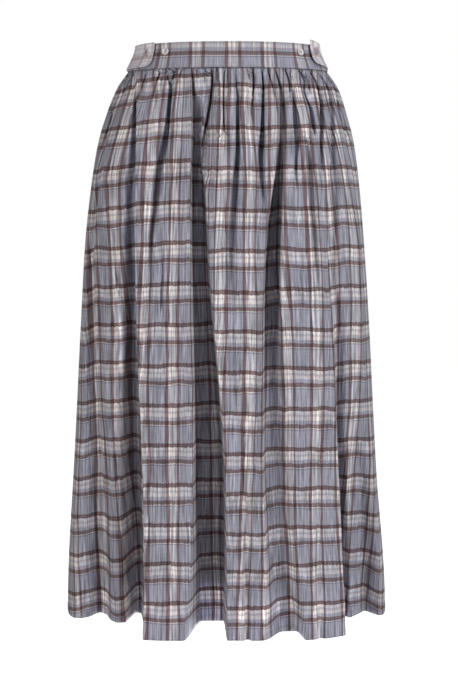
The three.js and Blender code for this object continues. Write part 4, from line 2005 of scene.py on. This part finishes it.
@dataclass
class ShaderGroups:
    """The node groups that the materials share, each built once."""

    made: dict[str, bpy.types.NodeTree] = field(default_factory=dict)
    faded: Colour = (0.66, 0.60, 0.63)

    def start(
        self, name: str, inputs: dict[str, float], output: str, kind: str
    ) -> tuple[NodeKit, bpy.types.bpy_prop_collection, Socket]:
        """Starts a group that reads the place on the cloth.

        Args:
            name: Its name.
            inputs: Its other inputs and their values.
            output: The name of its output.
            kind: The output's kind of socket.

        Returns:
            A kit for its nodes, its inputs, and the socket that its result goes to.
        """
        tree = bpy.data.node_groups.new(name, "ShaderNodeTree")
        for label, value in ({"Across": 0.0, "Down": 0.0} | inputs).items():
            socket = tree.interface.new_socket(label, in_out="INPUT", socket_type="NodeSocketFloat")
            socket.default_value = value
        tree.interface.new_socket(output, in_out="OUTPUT", socket_type=kind)
        self.made[name] = tree
        kit = NodeKit(tree)
        return kit, kit.add("NodeGroupInput").outputs, kit.add("NodeGroupOutput").inputs[output]

    def plaid(self) -> bpy.types.NodeTree:
        """The woven plaid: warp and weft stripes crossed, with uneven yarns and crinkled columns.
        The light and dark streaks of the crinkles are painted shade and highlight.

        Returns:
            The group.
        """
        name = "plaid_weave"
        if name in self.made:
            return self.made[name]
        inputs = {"Crinkle": 1.0, "Fade": 0.0}
        kit, given, out = self.start(name, inputs, "Colour", "NodeSocketColor")
        x, y, crinkle = given["Across"], given["Down"], given["Crinkle"]
        slow = kit.rescale(kit.streaks(x, y, 21.0, 330.0, 0.0, 3.0), -1.8, 1.8)
        quick = kit.rescale(kit.streaks(x, y, 5.0, 90.0, 1.0, 5.0), -1.7, 1.7)
        shift = kit.math("MULTIPLY", kit.math("ADD", slow, quick), crinkle)
        wander = kit.rescale(kit.streaks(x, y, 1.4, 16.0, 0.0, 9.0), -0.35, 0.35)
        warp_place = kit.math("ADD", kit.math("ADD", x, shift), wander)
        sag = kit.rescale(kit.streaks(x, y, 34.0, 60.0, 1.0, 12.0), -1.5, 1.5)
        ragged = kit.rescale(kit.streaks(x, y, 2.4, 12.0, 0.0, 15.0), -0.7, 0.7)
        weft_shift = kit.math("MULTIPLY", kit.math("ADD", sag, ragged), crinkle)
        weft_place = kit.math("ADD", y, weft_shift)
        warp = kit.stripes(warp_place, WARP, 0.5)
        weft = kit.stripes(weft_place, WEFT, 0.55)
        crossed = kit.product(warp, weft)
        # Painted shade and highlight of the crinkles: narrow upright streaks, scaled by Crinkle.
        painted_crinkle_shade = kit.rescale(kit.streaks(x, y, 3.1, 48.0, 1.0, 21.0), 0.58, 1.46)
        change = kit.math("MULTIPLY", kit.math("SUBTRACT", painted_crinkle_shade, 1.0), crinkle)
        crinkle_shade_factor = kit.math("ADD", 1.0, change)
        warp_yarn = kit.rescale(kit.streaks(x, y, 1.5, 24.0, 0.0, 27.0), 0.82, 1.2)
        weft_yarn = kit.rescale(kit.streaks(x, y, 30.0, 0.8, 0.0, 31.0), 0.93, 1.07)
        broad = kit.rescale(kit.streaks(x, y, 60.0, 90.0, 1.0, 37.0), 0.95, 1.05)
        # Yarn tone times the painted crinkle shade; uneven carries both on into the colour.
        upright = kit.math("MULTIPLY", crinkle_shade_factor, warp_yarn)
        uneven = kit.math("MULTIPLY", upright, kit.math("MULTIPLY", weft_yarn, broad))
        kit.join(kit.mix(given["Fade"], kit.tint(crossed, uneven), solid(self.faded)), out)
        return self.made[name]

    def surface(self) -> bpy.types.NodeTree:
        """The height of crinkled cloth: narrow upright crinkles, and the weave under them.

        Returns:
            The group.
        """
        name = "cloth_surface"
        if name in self.made:
            return self.made[name]
        inputs = {"Crinkle": 1.0, "Weave": 1.0}
        kit, given, out = self.start(name, inputs, "Height", "NodeSocketFloat")
        x, y = given["Across"], given["Down"]
        wide = kit.math("MULTIPLY", kit.streaks(x, y, 6.0, 80.0, 2.0, 41.0), 3.2 * MM)
        narrow = kit.math("MULTIPLY", kit.streaks(x, y, 2.8, 34.0, 1.0, 47.0), 2.2 * MM)
        crinkles = kit.math("MULTIPLY", kit.math("ADD", wide, narrow), given["Crinkle"])
        over = kit.math("SINE", kit.math("MULTIPLY", x, 2 * math.pi / YARN_PITCH))
        under = kit.math("SINE", kit.math("MULTIPLY", y, 2 * math.pi / YARN_PITCH))
        weave = kit.math("MULTIPLY", kit.math("MULTIPLY", over, under), 0.02 * MM)
        woven = kit.math("MULTIPLY", weave, given["Weave"])
        kit.join(kit.math("ADD", crinkles, woven), out)
        return self.made[name]


@dataclass(frozen=True)
class ClothFinish:
    """A woven finish: the plaid or plain lining, its crinkle and how much light it lets through."""

    name: str
    crinkle: float
    weave: float
    roughness: float
    sheen: float
    through: float
    plaid: bool = True
    plain_colour: Colour = (0.3, 0.3, 0.36)
    level: float = 1.0
    fade: float = 0.0

    def build(self, groups: ShaderGroups) -> Material:
        """Makes the material.

        Args:
            groups: The shared node groups.

        Returns:
            The material.
        """
        material, kit = blank_material(self.name)
        x, y, _ = kit.split(kit.add("ShaderNodeUVMap", uv_map=CLOTH_UV).outputs["UV"])
        # Crinkle also scales the painted crinkle shade in the plaid.
        given = {"Across": x, "Down": y, "Crinkle": self.crinkle}
        if self.plaid:
            weave = kit.add("ShaderNodeGroup", given | {"Fade": self.fade}, node_tree=groups.plaid())
            colour = kit.tint(weave.outputs["Colour"], self.level)
        else:
            streaks = kit.streaks(x, y, 0.9, 40.0, 2.0, 51.0)
            colour = kit.mix(streaks, solid(self.plain_colour, 0.9), solid(self.plain_colour, 1.1))
        surface = kit.add("ShaderNodeGroup", given | {"Weave": self.weave}, node_tree=groups.surface())
        normal = kit.bump(surface.outputs["Height"], 1.0, 1.0)
        inputs = {
            "Base Color": colour,
            "Roughness": self.roughness,
            "Sheen Weight": self.sheen,
            "Sheen Roughness": 0.5,
            "Specular IOR Level": 0.2,
            "Normal": normal,
        }
        cloth = kit.add("ShaderNodeBsdfPrincipled", inputs).outputs[0]
        through = kit.add("ShaderNodeBsdfTranslucent", {"Color": colour, "Normal": normal}).outputs[0]
        mixed = kit.add("ShaderNodeMixShader", {"Fac": self.through, 1: cloth, 2: through})
        kit.add("ShaderNodeOutputMaterial", {"Surface": mixed.outputs[0]})
        return material


@dataclass(frozen=True)
class ButtonFinish:
    """A moulded button: clouded colour under a soft gloss."""

    kind: ButtonKind
    dark: Colour
    light: Colour
    roughness: float
    coat: float

    def build(self) -> Material:
        """Makes the material.

        Returns:
            The material.
        """
        material, kit = blank_material(self.kind.value)
        place = kit.add("ShaderNodeTexCoord").outputs["Object"]
        clouds = kit.noise(place, 420.0, 3.0, 1.6)
        rough = kit.rescale(clouds, self.roughness - 0.05, self.roughness + 0.08)
        inputs = {
            "Base Color": kit.mix(kit.rescale(clouds, 0.0, 1.0), solid(self.dark), solid(self.light)),
            "Roughness": rough,
            "Coat Weight": self.coat,
            "Coat Roughness": 0.12,
            "Normal": kit.bump(kit.noise(place, 2600.0), 0.25, 0.05 * MM),
        }
        plastic = kit.add("ShaderNodeBsdfPrincipled", inputs)
        kit.add("ShaderNodeOutputMaterial", {"Surface": plastic.outputs[0]})
        return material


@dataclass(frozen=True)
class ThreadFinish:
    """Sewing thread, a little uneven in its dye."""

    name: str
    colour: Colour

    def build(self) -> Material:
        """Makes the material.

        Returns:
            The material.
        """
        material, kit = blank_material(self.name)
        fluff = kit.noise(kit.add("ShaderNodeTexCoord").outputs["Object"], 900.0)
        dye = kit.rescale(fluff, 0.0, 1.0)
        inputs = {
            "Base Color": kit.mix(dye, solid(self.colour, 0.75), solid(self.colour, 1.25)),
            "Roughness": 0.6,
            "Sheen Weight": 0.2,
            "Normal": kit.bump(fluff, 0.4, 0.1 * MM),
        }
        thread = kit.add("ShaderNodeBsdfPrincipled", inputs)
        kit.add("ShaderNodeOutputMaterial", {"Surface": thread.outputs[0]})
        return material


@dataclass
class Wardrobe:
    """Every material of the skirt, made once."""

    groups: ShaderGroups = field(default_factory=ShaderGroups)

    def __post_init__(self) -> None:
        """Makes the materials."""
        weave, rough, sheen = 1.0, 0.88, 0.12
        crinkled = ClothFinish("crinkled_plaid", 1.0, weave, 0.9, sheen, 0.2, level=1.06)
        flat = ClothFinish("flat_plaid", 0.3, weave, rough, sheen, 0.05, level=0.85)
        tab = ClothFinish("tab_plaid", 0.3, weave, rough, sheen, 0.05, level=1.34, fade=0.4)
        slate = (0.26, 0.27, 0.33)
        inner = ClothFinish("lining_cloth", 0.3, 0.6, 0.7, 0.1, 0.12, plaid=False, plain_colour=slate)
        self.plaid = crinkled.build(self.groups)
        self.flat_plaid = flat.build(self.groups)
        self.tab_plaid = tab.build(self.groups)
        self.lining = inner.build(self.groups)
        dyes = (
            ButtonFinish(ButtonKind.MAUVE, (0.33, 0.27, 0.30), (0.50, 0.43, 0.46), 0.34, 0.3),
            ButtonFinish(ButtonKind.PEARL, (0.48, 0.46, 0.49), (0.84, 0.81, 0.85), 0.22, 0.6),
        )
        self.buttons = {dye.kind: dye.build() for dye in dyes}
        self.slate_thread = ThreadFinish("slate_thread", (0.16, 0.16, 0.2)).build()
        self.pale_thread = ThreadFinish("pale_thread", (0.4, 0.38, 0.4)).build()


# --- the studio ---


@dataclass(frozen=True)
class Lamp:
    """A square soft lamp that faces the skirt, with its place and size in metres."""

    name: str
    place: Point
    size: float
    power: float
    colour: Colour = (1.0, 1.0, 1.0)


LAMPS = (
    Lamp("key_light", (2.05, -2.4, 0.35), 1.1, 40.0, (0.97, 0.985, 1.0)),
    Lamp("fill_light", (-2.05, -2.4, 0.35), 1.1, 35.0, (1.0, 0.97, 0.935)),
    Lamp("top_light", (1.1, -1.2, 2.0), 1.2, 26.0),
)


@dataclass
class Studio:
    """The pale floor, the soft light and the camera, in metres."""

    floor_below: float = 1.05
    floor_half: float = 6.0
    floor_glow: float = 0.97
    glow_start: float = 0.15
    glow_full: float = 0.7
    camera_place: Point = (0.0021, -2.42, -0.2039)
    camera_down: float = 4.83
    lens: float = 91.35
    film_width: float = 36.0
    surround: float = 0.085
    aim: Point = (0.0, 0.0, -0.42)
    hem_power: float = 3.0
    hem_lamp_radius: float = 0.03
    hem_lamp_up: float = 12.0

    def floor(self) -> None:
        """A wide pale floor under the skirt, which fades to white behind it."""
        mesh = bpy.data.meshes.new("studio_floor")
        half, z = self.floor_half, -self.floor_below
        corners = [(-half, -half, z), (half, -half, z), (half, half, z), (-half, half, z)]
        mesh.from_pydata(corners, [], [(0, 1, 2, 3)])
        material, kit = blank_material("floor_paint")
        _, y, _ = kit.split(kit.add("ShaderNodeTexCoord").outputs["Object"])
        spans = {"From Min": self.glow_start, "From Max": self.glow_full, "To Max": self.floor_glow}
        glow = kit.add("ShaderNodeMapRange", {"Value": y} | spans, interpolation_type="SMOOTHSTEP")
        inputs = {
            "Base Color": (0.93, 0.93, 0.93, 1.0),
            "Roughness": 0.9,
            "Specular IOR Level": 0.1,
            "Emission Color": (1.0, 1.0, 1.0, 1.0),
            "Emission Strength": glow.outputs["Result"],
        }
        paint = kit.add("ShaderNodeBsdfPrincipled", inputs)
        kit.add("ShaderNodeOutputMaterial", {"Surface": paint.outputs[0]})
        mesh.materials.append(material)
        add_object("studio_floor", mesh)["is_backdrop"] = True

    def surroundings(self) -> None:
        """A white room that is seen at full white and lights the cloth more softly."""
        scene = bpy.context.scene
        world = bpy.data.worlds.new("white_room")
        scene.world = world
        world.use_nodes = True
        world.node_tree.nodes.clear()
        kit = NodeKit(world.node_tree)
        white = (1.0, 1.0, 1.0, 1.0)
        seen = kit.add("ShaderNodeBackground", {"Strength": 1.0, "Color": white}).outputs[0]
        lit = kit.add("ShaderNodeBackground", {"Strength": self.surround, "Color": white}).outputs[0]
        path = kit.add("ShaderNodeLightPath").outputs["Is Camera Ray"]
        mixed = kit.add("ShaderNodeMixShader", {"Fac": path, 1: lit, 2: seen})
        kit.add("ShaderNodeOutputWorld", {"Surface": mixed.outputs[0]})
        scene.view_settings.view_transform = "Standard"
        scene.view_settings.look = "None"

    def hang(self, lamp: Lamp) -> None:
        """Hangs a lamp that isn't seen itself.

        Args:
            lamp: The lamp.
        """
        data = bpy.data.lights.new(lamp.name, "AREA")
        data.shape = "SQUARE"
        data.size = lamp.size
        data.energy = lamp.power
        data.color = lamp.colour
        thing = add_object(lamp.name, data)
        thing.location = lamp.place
        thing.visible_camera = False
        way = Vector(self.aim) - Vector(lamp.place)
        thing.rotation_euler = way.to_track_quat("-Z", "Y").to_euler()

    def inner_lamp(self) -> None:
        """A small lamp inside the hem, whose light shows through the unlined strip of cloth."""
        data = bpy.data.lights.new("hem_light", "POINT")
        data.energy = self.hem_power
        data.shadow_soft_size = self.hem_lamp_radius
        thing = add_object("hem_light", data)
        thing.location = (0.0, 0.0, -(SKIRT_LENGTH + BAND_HEIGHT - self.hem_lamp_up) * MM)
        thing.visible_camera = False

    def camera(self) -> None:
        """The camera, level with the upper skirt and tilted a little down."""
        data = bpy.data.cameras.new("camera")
        data.lens = self.lens
        data.sensor_width = self.film_width
        data.clip_end = 30.0
        camera = add_object("camera", data)
        camera.location = self.camera_place
        camera.rotation_euler = (math.radians(90.0 - self.camera_down), 0.0, 0.0)
        bpy.context.scene.camera = camera

    def build(self) -> None:
        """Sets up the whole studio."""
        self.camera()
        self.floor()
        self.surroundings()
        for lamp in LAMPS:
            self.hang(lamp)
        self.inner_lamp()


def main() -> list[list[float]]:
    """Builds the skirt and its studio.

    Returns:
        The lowest and highest corners of the frame before anything is added.
    """
    logging.basicConfig(level=logging.INFO, format="%(name)s: %(message)s")
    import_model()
    frame_box = [list(corner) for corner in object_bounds()]
    Studio().build()
    wardrobe = Wardrobe()
    front = Panel(
        Side.FRONT,
        MAIN_FRONT,
        SIDE_FRONT + CREASES_FRONT,
        GatherRule(11, (6.5, 11.0), (16.0, 58.0), (2.4, 4.6), (2.8, 4.4), 4.4, 46),
        WARP_FRONT,
        FACES_FRONT,
    )
    back = Panel(
        Side.BACK,
        MAIN_BACK,
        (),
        GatherRule(29, (8.5, 14.0), (30.0, 160.0), (4.5, 8.5), (3.4, 6.5), 5.0, 64),
    )
    skirt, lining, band = Skirt(), Lining(), Waistband()
    for panel in (front, back):
        skirt.build(panel, wardrobe.plaid)
        lining.build(panel, wardrobe.lining)
        band.build(panel.side, wardrobe.flat_plaid)
    tabs = [Tab(place) for place in TABS]
    for tab in tabs:
        tab.build(wardrobe.tab_plaid)
    buttons = [Button(place) for place in BUTTONS]
    for button in buttons:
        button.build(wardrobe.buttons[button.place.kind], tabs)
    maker = StitchMaker()
    slate, pale = wardrobe.slate_thread, wardrobe.pale_thread
    maker.sew("hem_stitches", [hem_path(front), hem_path(back)], slate, 3.6, 2.4, 0.3)
    lines = [band_path(band, side, below) for side in Side for below in (2.4, BAND_HEIGHT - 2.2)]
    channels = [band_path(band, Side.BACK, below) for below in (10.0, 17.0, 24.0)]
    maker.sew("band_stitches", lines + channels, pale, 3.0, 2.2, 0.3)
    edges = [tab.stitch_path() for tab in tabs]
    maker.sew("tab_stitches", edges, pale, 2.6, 1.9, 0.3)
    crosses = [path for button in buttons for path in button.thread_paths(tabs)]
    maker.sew("button_threads", crosses, pale, 0.5, 0.9, 0.42)
    return frame_box


if __name__ == "__main__":
    FRAME_BOX = main()
